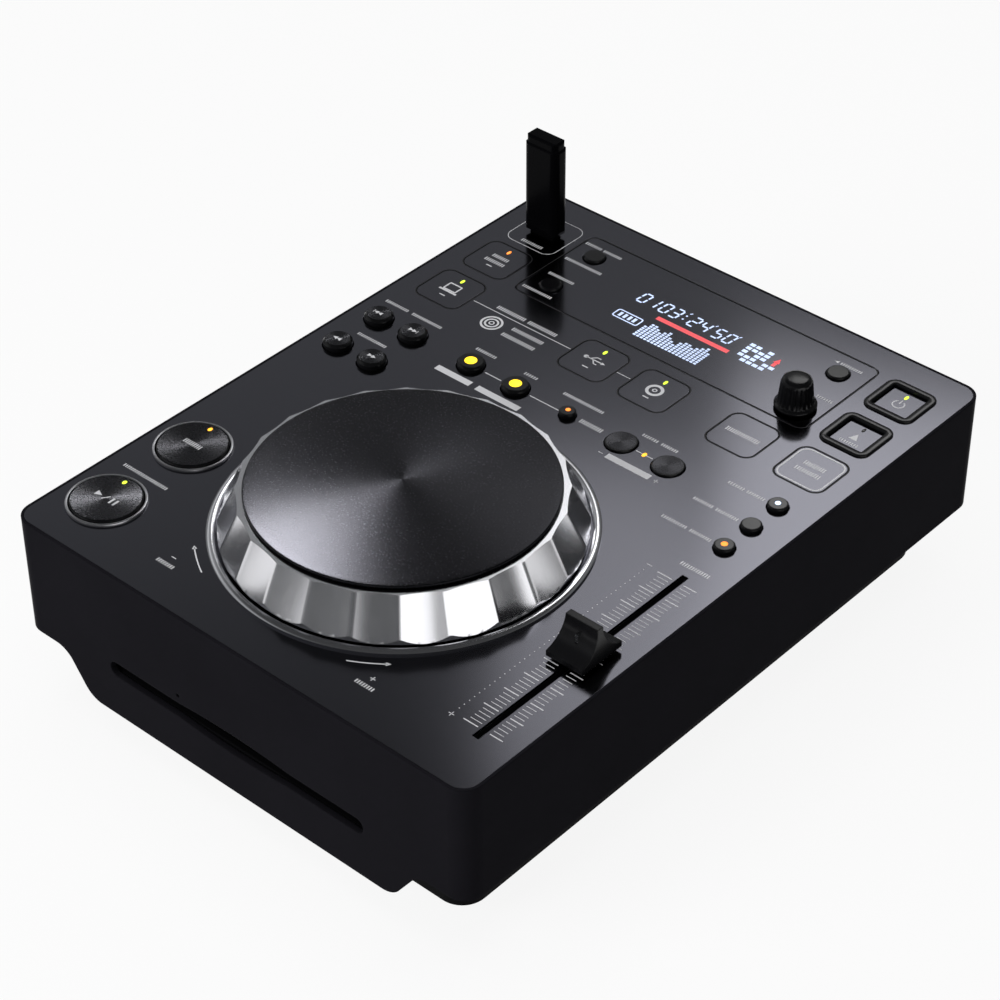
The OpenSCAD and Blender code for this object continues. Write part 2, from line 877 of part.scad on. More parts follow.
module panel_trims() {
    // frames that keep fingers off the power and eject keys
    color("#141416")
    place_all(GUARDED_KEYS)
        difference() {
            slab(panel_z, guard_h, key_size, key_size, key_r);
            translate([0, 0, panel_z])
                cube([guarded_key, guarded_key, 3 * guard_h], center = true);
        }
    color("#c9c9ce") {
        place_all(PLAY_BUTTONS)
            rotate_extrude()
                translate([play_r + key_gap, panel_z])
                    polygon([[0, 0], [0, 0.8], [0.25, 1.1], [ring_w - 0.35, 1.1],
                             [ring_w, 0.7], [ring_w, 0]]);
        place(jog_pos)
            translate([0, 0, panel_z])
                rotate_extrude($fn = 180)
                    jog_ring_profile();
    }
}

// ------------------------------------------------------------- jog wheel

bearing_flange_h = 1.6;
bearing_bottom = encoder_disc_z + 2;

module jog_bearing() {
    color("#b59a5a")
    place(jog_pos)
        difference() {
            union() {
                translate([0, 0, bearing_bottom])
                    cylinder(h = panel_z - bearing_bottom, r = bearing_r);
                translate([0, 0, panel_z])
                    cylinder(h = bearing_flange_h, r = 2 * bearing_r);
            }
            translate([0, 0, bearing_bottom - cut])
                cylinder(h = 40, r = jog_shaft_r + run_fit);
        }
}

jog_web = 2.5;
hub_bottom = panel_z + bearing_flange_h + 0.4;
guide_depth = 5;
ridge_z = jog_bottom + jog_lip;
cone = (jog_r - jog_top_r) / (jog_rim_z - ridge_z);
// half angle of a flute, and how far from the axis its hollow is deepest
flute_half = 180 / jog_flutes;
function flute_mid(r) =
    r * cos(flute_half)
    - (flute_r - sqrt(pow(flute_r, 2) - pow(r * sin(flute_half), 2))) / cos(atan(cone));

module jog_flute() {
    low = flute_mid(jog_r);
    high = flute_mid(jog_top_r);
    lean = atan((low - high) / (jog_rim_z - ridge_z));
    translate([(low + high) / 2 + flute_r * cos(lean), 0,
               (ridge_z + jog_rim_z) / 2 + flute_r * sin(lean)])
        rotate([0, -lean, 0])
            cylinder(h = 150, r = flute_r, center = true, $fn = 180);
}

module jog_wheel() {
    color("#d8d8dc")
    place(jog_pos)
        difference() {
            rotate_extrude($fn = 180)
                polygon([
                    [guide_r + free_gap, jog_rim_z - guide_depth],
                    [guide_r + free_gap, jog_rim_z], [jog_top_r, jog_rim_z],
                    [jog_r, ridge_z], [jog_r, jog_bottom],
                    [jog_r - jog_wall, jog_bottom], [jog_r - jog_wall, ridge_z],
                    [jog_top_r - jog_wall + jog_web * cone, jog_rim_z - jog_web],
                    [hub_r + 1, jog_rim_z - jog_web], [hub_r + 1, hub_bottom],
                    [jog_shaft_r, hub_bottom], [jog_shaft_r, jog_rim_z - guide_depth]
                ]);
            for (i = [0:jog_flutes - 1])
                rotate([0, 0, (i + 0.3) * 2 * flute_half])
                    jog_flute();
        }
}

module touch_disc() {
    color("#2b2c31")
    place(jog_pos)
        rotate_extrude($fn = 180)
            polygon([
                [0, disc_z - guide_depth + 1], [guide_r, disc_z - guide_depth + 1],
                [guide_r, disc_z], [disc_r, disc_z], [disc_r, disc_z + disc_t - 0.4],
                [disc_r - 0.4, disc_z + disc_t], [0, disc_z + disc_t]
            ]);
}

module jog_shaft() {
    windows = 24;
    shaft_bottom = encoder_disc_z - 4;
    color("#a9abb0")
    place(jog_pos) {
        translate([0, 0, shaft_bottom])
            cylinder(h = jog_rim_z - guide_depth - 0.5 - shaft_bottom, r = jog_shaft_r);
        // slotted disc that the light gate reads
        difference() {
            translate([0, 0, encoder_disc_z])
                cylinder(h = 1, r = encoder_disc_r);
            for (i = [0:windows - 1])
                rotate([0, 0, (i + 0.5) * 360 / windows])
                    translate([encoder_disc_r - 4, -0.9, encoder_disc_z - cut])
                        cube([3, 1.8, 1 + 2 * cut]);
        }
    }
}

// ---------------------------------------------------------- selector

knob_z = panel_z + 0.9;
knob_top = panel_z + knob_h;
shaft_top = knob_top - 4;

module selector_shaft() {
    color("#a9abb0")
    place(selector_pos)
        translate([0, 0, board_z + 1.3])
            cylinder(h = shaft_top - board_z - 1.3, r = selector_shaft_r);
}

module selector_knob() {
    grooves = 20;
    groove_r = 0.55;
    skirt_h = 0.9;
    color("#17171a")
    place(selector_pos)
        difference() {
            rotate_extrude()
                polygon([
                    [selector_shaft_r + run_fit, knob_z], [knob_skirt_r, knob_z],
                    [knob_skirt_r, knob_z + skirt_h], [knob_r, knob_z + skirt_h],
                    [knob_top_r, knob_top - 0.8], [knob_top_r - 0.7, knob_top],
                    [0, knob_top + 0.3], [0, shaft_top + selector_travel + 0.3],
                    [selector_shaft_r + run_fit, shaft_top + selector_travel + 0.3]
                ]);
            for (i = [0:grooves - 1])
                rotate([0, 0, i * 360 / grooves])
                    translate([knob_r + 0.3, 0, knob_z + skirt_h + 0.8])
                        rotate([0, -atan((knob_r - knob_top_r) / (knob_h - 2.6)), 0])
                            cylinder(h = knob_h - 4.6, r = groove_r, $fn = 24);
        }
}

// --------------------------------------------------------- tempo fader

lever_l = 8;
lever_t = 1.2;
carriage_l = 14;
track_wall = 1.4;
track_box_h = 12;
cap_z = panel_z + 1.7;
cap_top = panel_z + cap_h;
cap_ridge = 2.8;        // width of the ridge at the cap's top

module fader_track() {
    color("#a7a9ad")
    place(fader_pos)
        difference() {
            span([-track_w / 2, -track_l / 2, deck_z - track_box_h], [track_w / 2, track_l / 2, deck_z]);
            span([-track_w / 2 + track_wall, -track_l / 2 + track_wall, deck_z - track_box_h + track_wall],
                 [track_w / 2 - track_wall, track_l / 2 - track_wall, deck_z - track_wall]);
            span([-fader_slot / 2, -track_l / 2 + track_wall, deck_z - 2 * track_wall],
                 [fader_slot / 2, track_l / 2 - track_wall, deck_z + cut]);
        }
}

module fader_lever() {
    half = track_w / 2 - track_wall - free_gap;
    low = deck_z - track_box_h + track_wall + free_gap;
    color("#c0c2c6")
    place(fader_pos) {
        span([-lever_t / 2, -lever_l / 2, low + 2], [lever_t / 2, lever_l / 2, cap_top - 4]);
        span([-half, -carriage_l / 2, low], [half, carriage_l / 2, deck_z - track_wall - free_gap]);
    }
}

module fader_cap() {
    shift = cap_ridge / 2 + cap_hollow;
    color("#18181b")
    place(fader_pos)
        difference() {
            intersection() {
                span([-cap_w / 2, -cap_l / 2, cap_z], [cap_w / 2, cap_l / 2, cap_top]);
                // the sides lean in towards the ridge
                rotate([90, 0, 0])
                    linear_extrude(2 * cap_l, center = true)
                        polygon([[-cap_w / 2, cap_z], [cap_w / 2, cap_z],
                                 [cap_w / 2, cap_z + 1.8], [cap_w / 2 - 1, cap_top],
                                 [-cap_w / 2 + 1, cap_top], [-cap_w / 2, cap_z + 1.8]]);
            }
            for (s = [-1, 1])
                x_rod([-cap_w, s * shift, cap_top - 0.4], 2 * cap_w, cap_hollow);
            for (s = [-1, 1])
                span([-cap_w, s * (shift - cap_hollow / 2) - cap_hollow / 2, cap_top - 0.4],
                     [cap_w, s * (shift - cap_hollow / 2) + cap_hollow / 2, cap_top + cut]);
            // socket for the lever
            span([-lever_t / 2, -lever_l / 2, cap_z - cut], [lever_t / 2, lever_l / 2, cap_top - 4]);
        }
}

// -------------------------------------------------------- memory stick

// side view of a length of the stick, extruded through it: the foot is drawn in by foot over
// a height of rise, and the top has a chamfer
module stick_side(w, z0, z1, foot, rise, top) {
    side = w / 2;
    rotate([90, 0, 0])
        linear_extrude(2 * stick_w, center = true)
            polygon([[-side + foot, z0], [side - foot, z0], [side, z0 + rise], [side, z1 - top],
                     [side - top, z1], [-side + top, z1], [-side, z1 - top],
                     [-side, z0 + rise]]);
}

module memory_stick() {
    z0 = panel_z + stick_gap;
    z1 = z0 + stick_l;
    cap_foot = z1 - stick_cap_l;
    cap_w = stick_w - 2 * stick_step;
    cap_d = stick_d - 2 * stick_step;
    color("#111113")
    place(usb_pos) {
        intersection() {
            slab(z0, cap_foot - z0, stick_w, stick_d, stick_round);
            stick_side(stick_w, z0, cap_foot, 1.2, 2.5, 0.5);
            rotate(90)
                stick_side(stick_d, z0, cap_foot, 0.3, 2.5, 0.5);
        }
        intersection() {
            slab(cap_foot, stick_cap_l, cap_w, cap_d, stick_round - stick_step);
            stick_side(cap_w, cap_foot, z1, 0, 1, 0.8);
            rotate(90)
                stick_side(cap_d, cap_foot, z1, 0, 1, 0.8);
        }
    }
    color("#b9bbc0")
    place(usb_pos)
        difference() {
            span([-plug_w / 2, -plug_d / 2, panel_z - plug_in], [plug_w / 2, plug_d / 2, z0]);
            // room for the port's contact tongue
            span([-5.3, -1.1, panel_z - plug_in - cut], [5.3, 1.4, panel_z - 2]);
        }
}

// ------------------------------------------------- keys and buttons

cap_flange = 1.2;       // height and overhang of the flange that holds a key in
cap_under = deck_z - 0.5 - cap_flange;
stem_r = 1.5;

module stem() {
    foot = switch_z + key_travel + 0.3;
    translate([0, 0, foot])
        cylinder(h = cap_under - foot + cut / 2, r = stem_r);
}

module square_key(pos, shade) {
    side = key_size - 2 * key_gap;
    color(shade)
    place(pos) {
        slab(cap_under, panel_z - cap_under, side, side, key_r - key_gap);
        slab(cap_under, cap_flange, side + 1.6, side + 1.6, key_r);
        stem();
    }
}

module guarded_button(pos) {
    side = guarded_key - 2 * key_gap;
    color("#5b5b63")
    place(pos) {
        span([-side / 2, -side / 2, cap_under], [side / 2, side / 2, panel_z - guarded_sink]);
        span([-side / 2 - 0.8 - key_gap, -side / 2 - 0.8 - key_gap, cap_under],
             [side / 2 + 0.8 + key_gap, side / 2 + 0.8 + key_gap, cap_under + cap_flange]);
        stem();
    }
}

// round button with a bevelled edge; dish is the fall of its top to the middle
module round_button(pos, r, h, shade, bevel = 0.5, dish = 0) {
    top = panel_z + h;
    color(shade)
    place(pos) {
        rotate_extrude()
            polygon([
                [0, cap_under], [r + cap_flange, cap_under],
                [r + cap_flange, cap_under + cap_flange], [r, cap_under + cap_flange],
                [r, top - bevel], [r - bevel, top], [0, top - dish]
            ]);
        stem();
    }
}

module cue_button() round_button(cue_pos, play_r, play_h, "#1d1d20", 0.7, 0.3);
module play_button() round_button(play_pos, play_r, play_h, "#1d1d20", 0.7, 0.3);
module power_key() guarded_button(power_pos);
module eject_key() guarded_button(eject_pos);
module beat_lock_key() square_key(beat_lock_pos, "#77777f");
module playlist_key() square_key(playlist_pos, "#62626a");
module disc_source_key() square_key(disc_source_pos, "#56565e");
module usb_source_key() square_key(usb_source_pos, "#56565e");
module computer_source_key() square_key(computer_source_pos, "#4c4c54");
module usb_stop_key() square_key(usb_stop_pos, "#4c4c54");
module time_button() round_button(time_pos, menu_r, menu_h, "#222226");
module menu_button() round_button(menu_pos, menu_r, menu_h, "#222226");
module back_button() round_button(back_pos, menu_r, menu_h, "#222226");
module track_back_button() round_button(track_back_pos, track_r, track_h, "#1b1b1e", 0.9);
module track_next_button() round_button(track_next_pos, track_r, track_h, "#1b1b1e", 0.9);
module search_back_button() round_button(search_back_pos, track_r, track_h, "#1b1b1e", 0.9);
module search_next_button() round_button(search_next_pos, track_r, track_h, "#1b1b1e", 0.9);
module loop_in_button() round_button(loop_in_pos, loop_r, loop_h, "#e0b020", 0.8);
module loop_out_button() round_button(loop_out_pos, loop_r, loop_h, "#e0b020", 0.8);
module loop_exit_button() round_button(loop_exit_pos, exit_r, loop_h, "#222226");
module beat_half_button() round_button(beat_half_pos, beat_r, beat_h, "#26262a", 0.3);
module beat_double_button() round_button(beat_double_pos, beat_r, beat_h, "#26262a", 0.3);
module vinyl_mode_button() round_button(vinyl_mode_pos, mode_r, mode_h, "#222226");
module tempo_range_button() round_button(tempo_range_pos, mode_r, mode_h, "#222226");
module master_tempo_button() round_button(master_tempo_pos, mode_r, mode_h, "#222226");

// ------------------------------------------------------------- drive

ear_x = 50;
ear_t = 2;
roller_y = drive_front + 12;
roller_z = play_z - 0.8 - roller_r;
roller_shaft_r = 1.5;
gear_w = 4;
gear_x = drive_half_w + 1.5;
mesh_angle = -40;
mesh_d = gear_m * (roller_teeth + pinion_teeth) / 2;
pinion_y = roller_y + mesh_d * cos(mesh_angle);
pinion_z = roller_z + mesh_d * sin(mesh_angle);
motor_r = 8;
motor_shaft_r = 1;
motor_l = 21;

module drive_chassis() {
    top = cover_z;
    color("#9b9da1")
    difference() {
        union() {
            span([-drive_half_w, drive_front, drive_z], [drive_half_w, drive_back, drive_z + sheet_t]);
            for (s = [-1, 1])
                span([s > 0 ? drive_half_w - sheet_t : -drive_half_w, drive_front, drive_z],
                     [s > 0 ? drive_half_w : -drive_half_w + sheet_t, drive_back, top]);
            span([-drive_half_w, drive_back - sheet_t, drive_z], [drive_half_w, drive_back, top]);
            // blocks that guide the lift cam
            for (x = [-cam_guide_x, cam_guide_x], y = [cam_y - 1.5 - free_gap, cam_y + sheet_t + free_gap])
                span([x - 2, y, drive_z], [x + 2, y + 1.5, drive_z + 7]);
            // ears that carry the traverse
            for (s = [-1, 1])
                span([s > 0 ? ear_x : -ear_x - ear_t, hinge_y - 6, drive_z],
                     [s > 0 ? ear_x + ear_t : -ear_x, hinge_y + 6, hinge_z + 5]);
        }
        x_rod([-ear_x - 5, hinge_y, hinge_z], 2 * ear_x + 10, hinge_pin_r + run_fit);
        x_rod([-drive_half_w - cut, roller_y, roller_z], 2 * drive_half_w + 2 * cut,
              roller_shaft_r + run_fit);
        x_rod([drive_half_w - sheet_t - cut, pinion_y, pinion_z], sheet_t + 2 * cut, 3);
    }
    // rubber dampers that stand on the tub's floor
    color("#202020")
    for (x = [-1, 1], y = [drive_front + 14, drive_back - 10])
        translate([x * (drive_half_w - 12), y, floor_z])
            cylinder(h = damper_h, r = 5);
}

module drive_cover() {
    ear = 14.5;
    color("#a4a6aa")
    difference() {
        union() {
            span([-drive_half_w, drive_front, cover_z], [drive_half_w, drive_back, cover_z + sheet_t]);
            for (s = [-1, 1])
                span([s > 0 ? ear : -ear - ear_t, clamp_hinge_y - 4, clamp_hinge_z - 4],
                     [s > 0 ? ear + ear_t : -ear, clamp_hinge_y + 4, cover_z + cut / 2]);
        }
        translate([0, spindle_y, cover_z - cut])
            cylinder(h = sheet_t + 2 * cut, r = 22);
        x_rod([-ear - 5, clamp_hinge_y, clamp_hinge_z], 2 * ear + 10, 1.5 + run_fit);
    }
}

// spur gear with straight flanks and generous backlash, in the XY plane
module gear(teeth, h) {
    pitch = 360 / teeth;
    r = gear_m * teeth / 2;
    root = r - 1.25 * gear_m;
    tip = r + 0.8 * gear_m;
    linear_extrude(h)
        polygon([
            for (i = [0:teeth - 1])
                for (k = [[-0.26, root], [-0.1, tip], [0.1, tip], [0.26, root]])
                    k[1] * [cos((i + k[0]) * pitch), sin((i + k[0]) * pitch)]
        ]);
}

module loading_motor() {
    color("#8f9196") {
        x_rod([drive_half_w - sheet_t - motor_l, pinion_y, pinion_z], motor_l, motor_r);
        x_rod([drive_half_w - sheet_t - 1, pinion_y, pinion_z],
              gear_x + gear_w - drive_half_w + sheet_t + 1.5, motor_shaft_r);
        // saddle that carries the motor on the chassis
        span([drive_half_w - sheet_t - motor_l, pinion_y - 5, drive_z + sheet_t],
             [drive_half_w - sheet_t - 3, pinion_y + 5, pinion_z - motor_r + 2]);
    }
}

// the pinion's teeth stand in the roller gear's gaps on the line of centres
module loading_pinion() {
    gap_phase = 180 + mesh_angle - 180 / pinion_teeth;
    color("#e6e2d8")
    translate([gear_x, pinion_y, pinion_z])
        rotate([90, 0, 90])
            difference() {
                rotate([0, 0, gap_phase])
                    gear(pinion_teeth, gear_w);
                translate([0, 0, -cut])
                    cylinder(h = gear_w + 2 * cut, r = motor_shaft_r + run_fit);
            }
}

module feed_roller() {
    reach = drive_half_w - 3;
    color("#1a1a1a")
    x_rod([-58, roller_y, roller_z], 116, roller_r);
    color("#a9abb0")
    x_rod([-reach - 4, roller_y, roller_z], reach + 4 + gear_x + gear_w, roller_shaft_r);
    color("#e6e2d8")
    translate([gear_x, roller_y, roller_z])
        rotate([90, 0, 90])
            rotate([0, 0, mesh_angle])
                gear(roller_teeth, gear_w);
}

module traverse_base() {
    plate_z = hinge_z - 0.6;
    top = plate_z + sheet_t;
    color("#85878b")
    lowered() {
        difference() {
            union() {
                span([-ear_x + 1, traverse_front, plate_z], [ear_x - 1, hinge_y + 3, top]);
                // pin that rides in the lift cam's slot
                y_rod([0, cam_y - 2, hinge_z], traverse_front - cam_y + 4, cam_pin_r);
                // spindle motor
                translate([0, spindle_y, top])
                    cylinder(h = 8, r = 12);
                // blocks that hold the guide rods and the lead screw
                for (y = [rod_front, rod_back - rod_end]) {
                    for (x = [-rod_x, rod_x])
                        span([x - 3.5, y, top], [x + 3.5, y + rod_end, rod_z + 3.5]);
                    span([screw_x - 4, y, top], [screw_x + 4, y + rod_end, rod_z + 4]);
                }
                for (s = [-1, 1])
                    x_rod([s > 0 ? ear_x - 6 : -ear_x - ear_t - 0.5, hinge_y, hinge_z],
                          6 + ear_t + 0.5, hinge_pin_r);
            }
            translate([0, spindle_y, top + 2])
                cylinder(h = 10, r = spindle_r + run_fit);
            y_rod([screw_x, rod_front - cut, rod_z], rod_back - rod_front + 2 * cut,
                  lead_r + run_fit);
        }
        for (x = [-rod_x, rod_x])
            y_rod([x, rod_front + rod_end, rod_z], rod_back - rod_front - 2 * rod_end, rod_r);
    }
}

traverse_front = spindle_y - 20;
cam_y = traverse_front - 4.2;
cam_pin_r = 1.5;
cam_guide_x = 16;
// how far the cam's pin drops when the traverse is let down
cam_drop = (hinge_y - cam_y - sheet_t / 2) * sin(traverse_deg);

// sliding plate whose sloped slot lifts the front of the traverse
module lift_cam() {
    reach = cam_guide_x + 4;
    slot_r = cam_pin_r + free_gap;
    slope = atan(cam_drop / cam_travel);
    color("#d9d4c4")
    difference() {
        span([-cam_travel - reach, cam_y, drive_z + sheet_t + free_gap],
             [reach, cam_y + sheet_t, hinge_z + 4.5]);
        translate([0, cam_y - cut, hinge_z - cam_drop])
            rotate([-90, 0, 0])
                linear_extrude(sheet_t + 2 * cut)
                    rotate(slope) {
                        circle(slot_r);
                        translate([-cam_travel / cos(slope), 0]) {
                            circle(slot_r);
                            translate([0, -slot_r])
                                square([cam_travel / cos(slope), 2 * slot_r]);
                        }
                    }
    }
}

spindle_r = 1.5;
rod_r = 1.5;
rod_x = 22;
rod_z = hinge_z + 5.6;
screw_x = -36;
lead_r = 2;
nub_r = 7.3;

module turntable() {
    nub_h = 2;
    low = hinge_z + 2.8;
    color("#3a3a3e")
    lowered()
        translate([0, spindle_y, 0]) {
            rotate_extrude()
                polygon([
                    [0, play_z - 3], [turntable_r - 3, play_z - 3],
                    [turntable_r, play_z - 1.5], [turntable_r, play_z], [nub_r, play_z],
                    [nub_r - 0.6, play_z + nub_h], [0, play_z + nub_h]
                ]);
            translate([0, 0, low])
                cylinder(h = play_z - 2 - low, r = spindle_r);
        }
}

sled_front = spindle_y + 14;
sled_l = 20;
rod_end = 4;            // thickness of the blocks that hold the rods
rod_front = sled_front - 1 - rod_end;
rod_back = sled_front + sled_l + sled_travel + 2 + rod_end;

module pickup_sled() {
    low = rod_z - 3;
    high = rod_z + 3;
    color("#33363c")
    lowered() {
        difference() {
            union() {
                span([-27, sled_front, low], [27, sled_front + sled_l, high]);
                span([screw_x - 3.6, sled_front + 4, low], [-26, sled_front + sled_l - 4, high]);
                // lens in its holder
                translate([0, sled_front + sled_l / 2, high - 0.5])
                    cylinder(h = 2.5, r = 5);
            }
            for (x = [-rod_x, rod_x])
                y_rod([x, sled_front - cut, rod_z], sled_l + 2 * cut, rod_r + run_fit);
            y_rod([screw_x, sled_front - cut, rod_z], sled_l + 2 * cut, lead_r + run_fit);
        }
    }
}

module lead_screw() {
    color("#c2b070")
    lowered()
        y_rod([screw_x, rod_front + 0.5, rod_z], rod_back - rod_front - 1, lead_r);
}

arm_t = 1.2;
arm_z = clamp_hinge_z - arm_t / 2;
clamper_r = 14;
clamp_hub_r = 5;

module clamp_arm() {
    color("#b0b2b6")
    lifted()
        difference() {
            union() {
                span([-12, spindle_y, arm_z], [12, clamp_hinge_y + 2, arm_z + arm_t]);
                translate([0, spindle_y, arm_z])
                    cylinder(h = arm_t, r = 12);
                x_rod([-17, clamp_hinge_y, clamp_hinge_z], 34, 1.5);
            }
            translate([0, spindle_y, arm_z - cut])
                cylinder(h = arm_t + 2 * cut, r = clamp_hub_r + free_gap);
        }
}

module clamper() {
    low = play_z + disc_thick;
    color("#e8e4da")
    lifted()
        translate([0, spindle_y, 0])
            rotate_extrude()
                polygon([
                    [0, low + 1.8], [nub_r + 0.5, low + 1.8], [nub_r + 0.7, low],
                    [clamper_r, low], [clamper_r, low + 2.4], [clamp_hub_r + 2, arm_z - 0.4],
                    [clamp_hub_r, arm_z - 0.4], [clamp_hub_r, arm_z + arm_t + 0.4],
                    [clamp_hub_r + 2.5, arm_z + arm_t + 0.4],
                    [clamp_hub_r + 2.5, arm_z + arm_t + 1.2], [0, arm_z + arm_t + 1.2]
                ]);
}

// ------------------------------------------------------------- nodes

upper_case();
top_panel();
lower_case();
feet();
case_screws();
display_window();
display_module();
key_board();
main_board();
power_supply();
rear_panel();
rear_sockets();
panel_trims();
jog_bearing();
lift_cam();
fader_track();
drive_chassis();
drive_cover();
loading_motor();
loading_pinion();
feed_roller();
clamp_arm();
clamper();
traverse_base();
turntable();
pickup_sled();
lead_screw();
jog_wheel();
touch_disc();
jog_shaft();
selector_knob();
selector_shaft();
fader_cap();
fader_lever();
memory_stick();
cue_button();
play_button();
power_key();
eject_key();
beat_lock_key();
playlist_key();
disc_source_key();
usb_source_key();
computer_source_key();
usb_stop_key();
time_button();
menu_button();
back_button();
track_back_button();
track_next_button();
search_back_button();
search_next_button();
loop_in_button();
loop_out_button();
loop_exit_button();
beat_half_button();
beat_double_button();
vinyl_mode_button();
tempo_range_button();
master_tempo_button();
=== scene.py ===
import math

import bmesh
import bpy
import numpy as np
from mathutils import Matrix, Vector


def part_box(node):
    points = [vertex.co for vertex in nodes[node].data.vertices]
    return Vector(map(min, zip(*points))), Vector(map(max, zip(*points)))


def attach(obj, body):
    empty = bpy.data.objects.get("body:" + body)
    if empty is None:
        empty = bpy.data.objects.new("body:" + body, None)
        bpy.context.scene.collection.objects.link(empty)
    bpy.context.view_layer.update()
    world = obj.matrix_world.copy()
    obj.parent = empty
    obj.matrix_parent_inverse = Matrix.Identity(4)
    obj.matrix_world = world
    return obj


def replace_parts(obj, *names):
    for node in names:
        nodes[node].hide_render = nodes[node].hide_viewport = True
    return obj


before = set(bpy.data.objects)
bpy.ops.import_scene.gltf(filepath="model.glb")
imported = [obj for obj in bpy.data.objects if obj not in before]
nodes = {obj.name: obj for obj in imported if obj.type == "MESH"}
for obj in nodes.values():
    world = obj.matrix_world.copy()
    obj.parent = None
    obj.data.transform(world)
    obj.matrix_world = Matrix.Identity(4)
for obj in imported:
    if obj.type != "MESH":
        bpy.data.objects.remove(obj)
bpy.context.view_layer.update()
MM = 0.001


# ---- camera ----
# The player is seen from its front right corner and from above, at about
# the distance of someone who stands at the table, with a long lens.
azimuth, elevation, roll = [math.radians(angle) for angle in (41.83, 38.13, -0.27)]
eye_from_panel = Vector((556.0, -627.3, 635.9)) * MM
sensor_width = 36.0
focal_per_width = 2.8793

panel_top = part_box("top_panel")[1].z
view_direction = Vector((-math.sin(azimuth) * math.cos(elevation),
                         math.cos(azimuth) * math.cos(elevation),
                         -math.sin(elevation)))
camera_data = bpy.data.cameras.new("camera")
camera_data.sensor_width = sensor_width
camera_data.lens = sensor_width * focal_per_width
camera_data.clip_end = 20
camera = bpy.data.objects.new("camera", camera_data)
bpy.context.scene.collection.objects.link(camera)
turned = view_direction.to_track_quat("-Z", "Y").to_matrix().to_4x4()
camera.matrix_world = (Matrix.Translation(eye_from_panel + Vector((0, 0, panel_top)))
                       @ turned @ Matrix.Rotation(roll, 4, "Z"))
bpy.context.scene.camera = camera
bpy.context.scene.view_settings.view_transform = "Standard"


# ---- floor and lights ----
# A wide sheet of pale paper, in soft light from overhead and the front left. Low
# boxes at the front and the left show in the chrome, boxes at the back shade
# the panel from dark to light, and two small lamps draw the spun wedges.
floor_side = 12.0
floor_colour = (0.72, 0.72, 0.72, 1)
floor_glow = 0.9
light_aim = Vector((0, -0.03, 0.09))
SOFT_BOXES = {
    # name: (azimuth and elevation from the player, distance, width, height, radiance,
    #        whether gloss reflects it)
    "overhead": (0, 90, 2.2, 2.2, 2.2, 2.2, False),
    "fill": (-112, 22, 1.8, 1.0, 1.0, 7.0, False),
    "front_right": (-16, 10.5, 1.6, 1.53, 0.56, 1.35, True),
    "front": (-50, 12, 1.6, 0.3, 0.5, 0.45, True),
    "back": (112.4, 42.85, 2.0, 0.593, 0.628, 2.62, True),
    "back_edge": (127.6, 41.9, 2.05, 0.197, 0.365, 1.47, True),
    "left_strip": (172, 25, 1.8, 1.45, 0.28, 0.36, True),
    "disc_light": (163.3, 51, 0.403, 0.12, 0.12, 52.0, True),
    "plate_light": (161, 33, 1.2, 0.15, 0.15, 45.0, True),
}


def add_node(tree, kind, inputs=None, **settings):
    """One shader node: settings are its own options, and each input that is named or numbered
    takes the value given, or a link from the socket given."""
    node = tree.nodes.new("ShaderNode" + kind)
    for setting, value in settings.items():
        setattr(node, setting, value)
    for socket, value in (inputs or {}).items():
        if isinstance(value, bpy.types.NodeSocket):
            tree.links.new(value, node.inputs[socket])
        else:
            node.inputs[socket].default_value = value
    return node


def add_math(tree, operation, *values):
    """The output of one Math node over the sockets and numbers given."""
    return add_node(tree, "Math", dict(enumerate(values)), operation=operation).outputs[0]


floor_mesh = bpy.data.meshes.new("floor")
corner = floor_side / 2
floor_mesh.from_pydata([(-corner, -corner, 0), (corner, -corner, 0), (corner, corner, 0),
                        (-corner, corner, 0)], [], [(0, 1, 2, 3)])
floor = bpy.data.objects.new("floor", floor_mesh)
bpy.context.scene.collection.objects.link(floor)
paper = bpy.data.materials.new("paper")
paper.use_nodes = True
paper_tree = paper.node_tree
paper_shader = paper_tree.nodes["Principled BSDF"]
for socket, value in (("Base Color", floor_colour), ("Roughness", 0.9),
                      ("Specular IOR Level", 0.0)):
    paper_shader.inputs[socket].default_value = value
light_path = add_node(paper_tree, "LightPath")
seen = light_path.outputs["Is Camera Ray"]
for ray in ("Is Glossy Ray", "Is Transmission Ray"):
    seen = add_math(paper_tree, "ADD", seen, light_path.outputs[ray])
share = add_math(paper_tree, "MULTIPLY", seen, floor_glow)
glow = add_node(paper_tree, "Emission")
mixed = add_node(paper_tree, "MixShader",
                 {0: share, 1: paper_shader.outputs[0], 2: glow.outputs[0]})
paper_tree.links.new(mixed.outputs[0], paper_tree.nodes["Material Output"].inputs["Surface"])
floor_mesh.materials.append(paper)

for name, (turned_to, raised, distance, width, height, radiance, gloss) in SOFT_BOXES.items():
    box = bpy.data.lights.new(name, "AREA")
    box.shape = "RECTANGLE"
    box.size, box.size_y = width, height
    box.energy = radiance * width * height * math.pi
    lamp = bpy.data.objects.new(name, box)
    bpy.context.scene.collection.objects.link(lamp)
    turned_to, raised = math.radians(turned_to), math.radians(raised)
    away = Vector((math.cos(turned_to) * math.cos(raised), math.sin(turned_to) * math.cos(raised),
                   math.sin(raised)))
    lamp.location = light_aim + away * distance
    lamp.rotation_euler = (-away).to_track_quat("-Z", "Y").to_euler()
    lamp.visible_camera = False
    lamp.visible_glossy = gloss

# the last two fall only on the spun faces that are put into these collections
under = {}
for name in ("disc_light", "plate_light"):
    under[name] = bpy.data.collections.new("under_" + name)
    bpy.data.objects[name].light_linking.receiver_collection = under[name]

# The room is dark overhead and on the right, and paler on the left, most of all
# in a band above the horizon.
room_dark, room_low, room_band = 0.05, 0.12, 0.24
room_turn = math.radians(190)
world = bpy.data.worlds.new("room")
world.use_nodes = True
room = world.node_tree


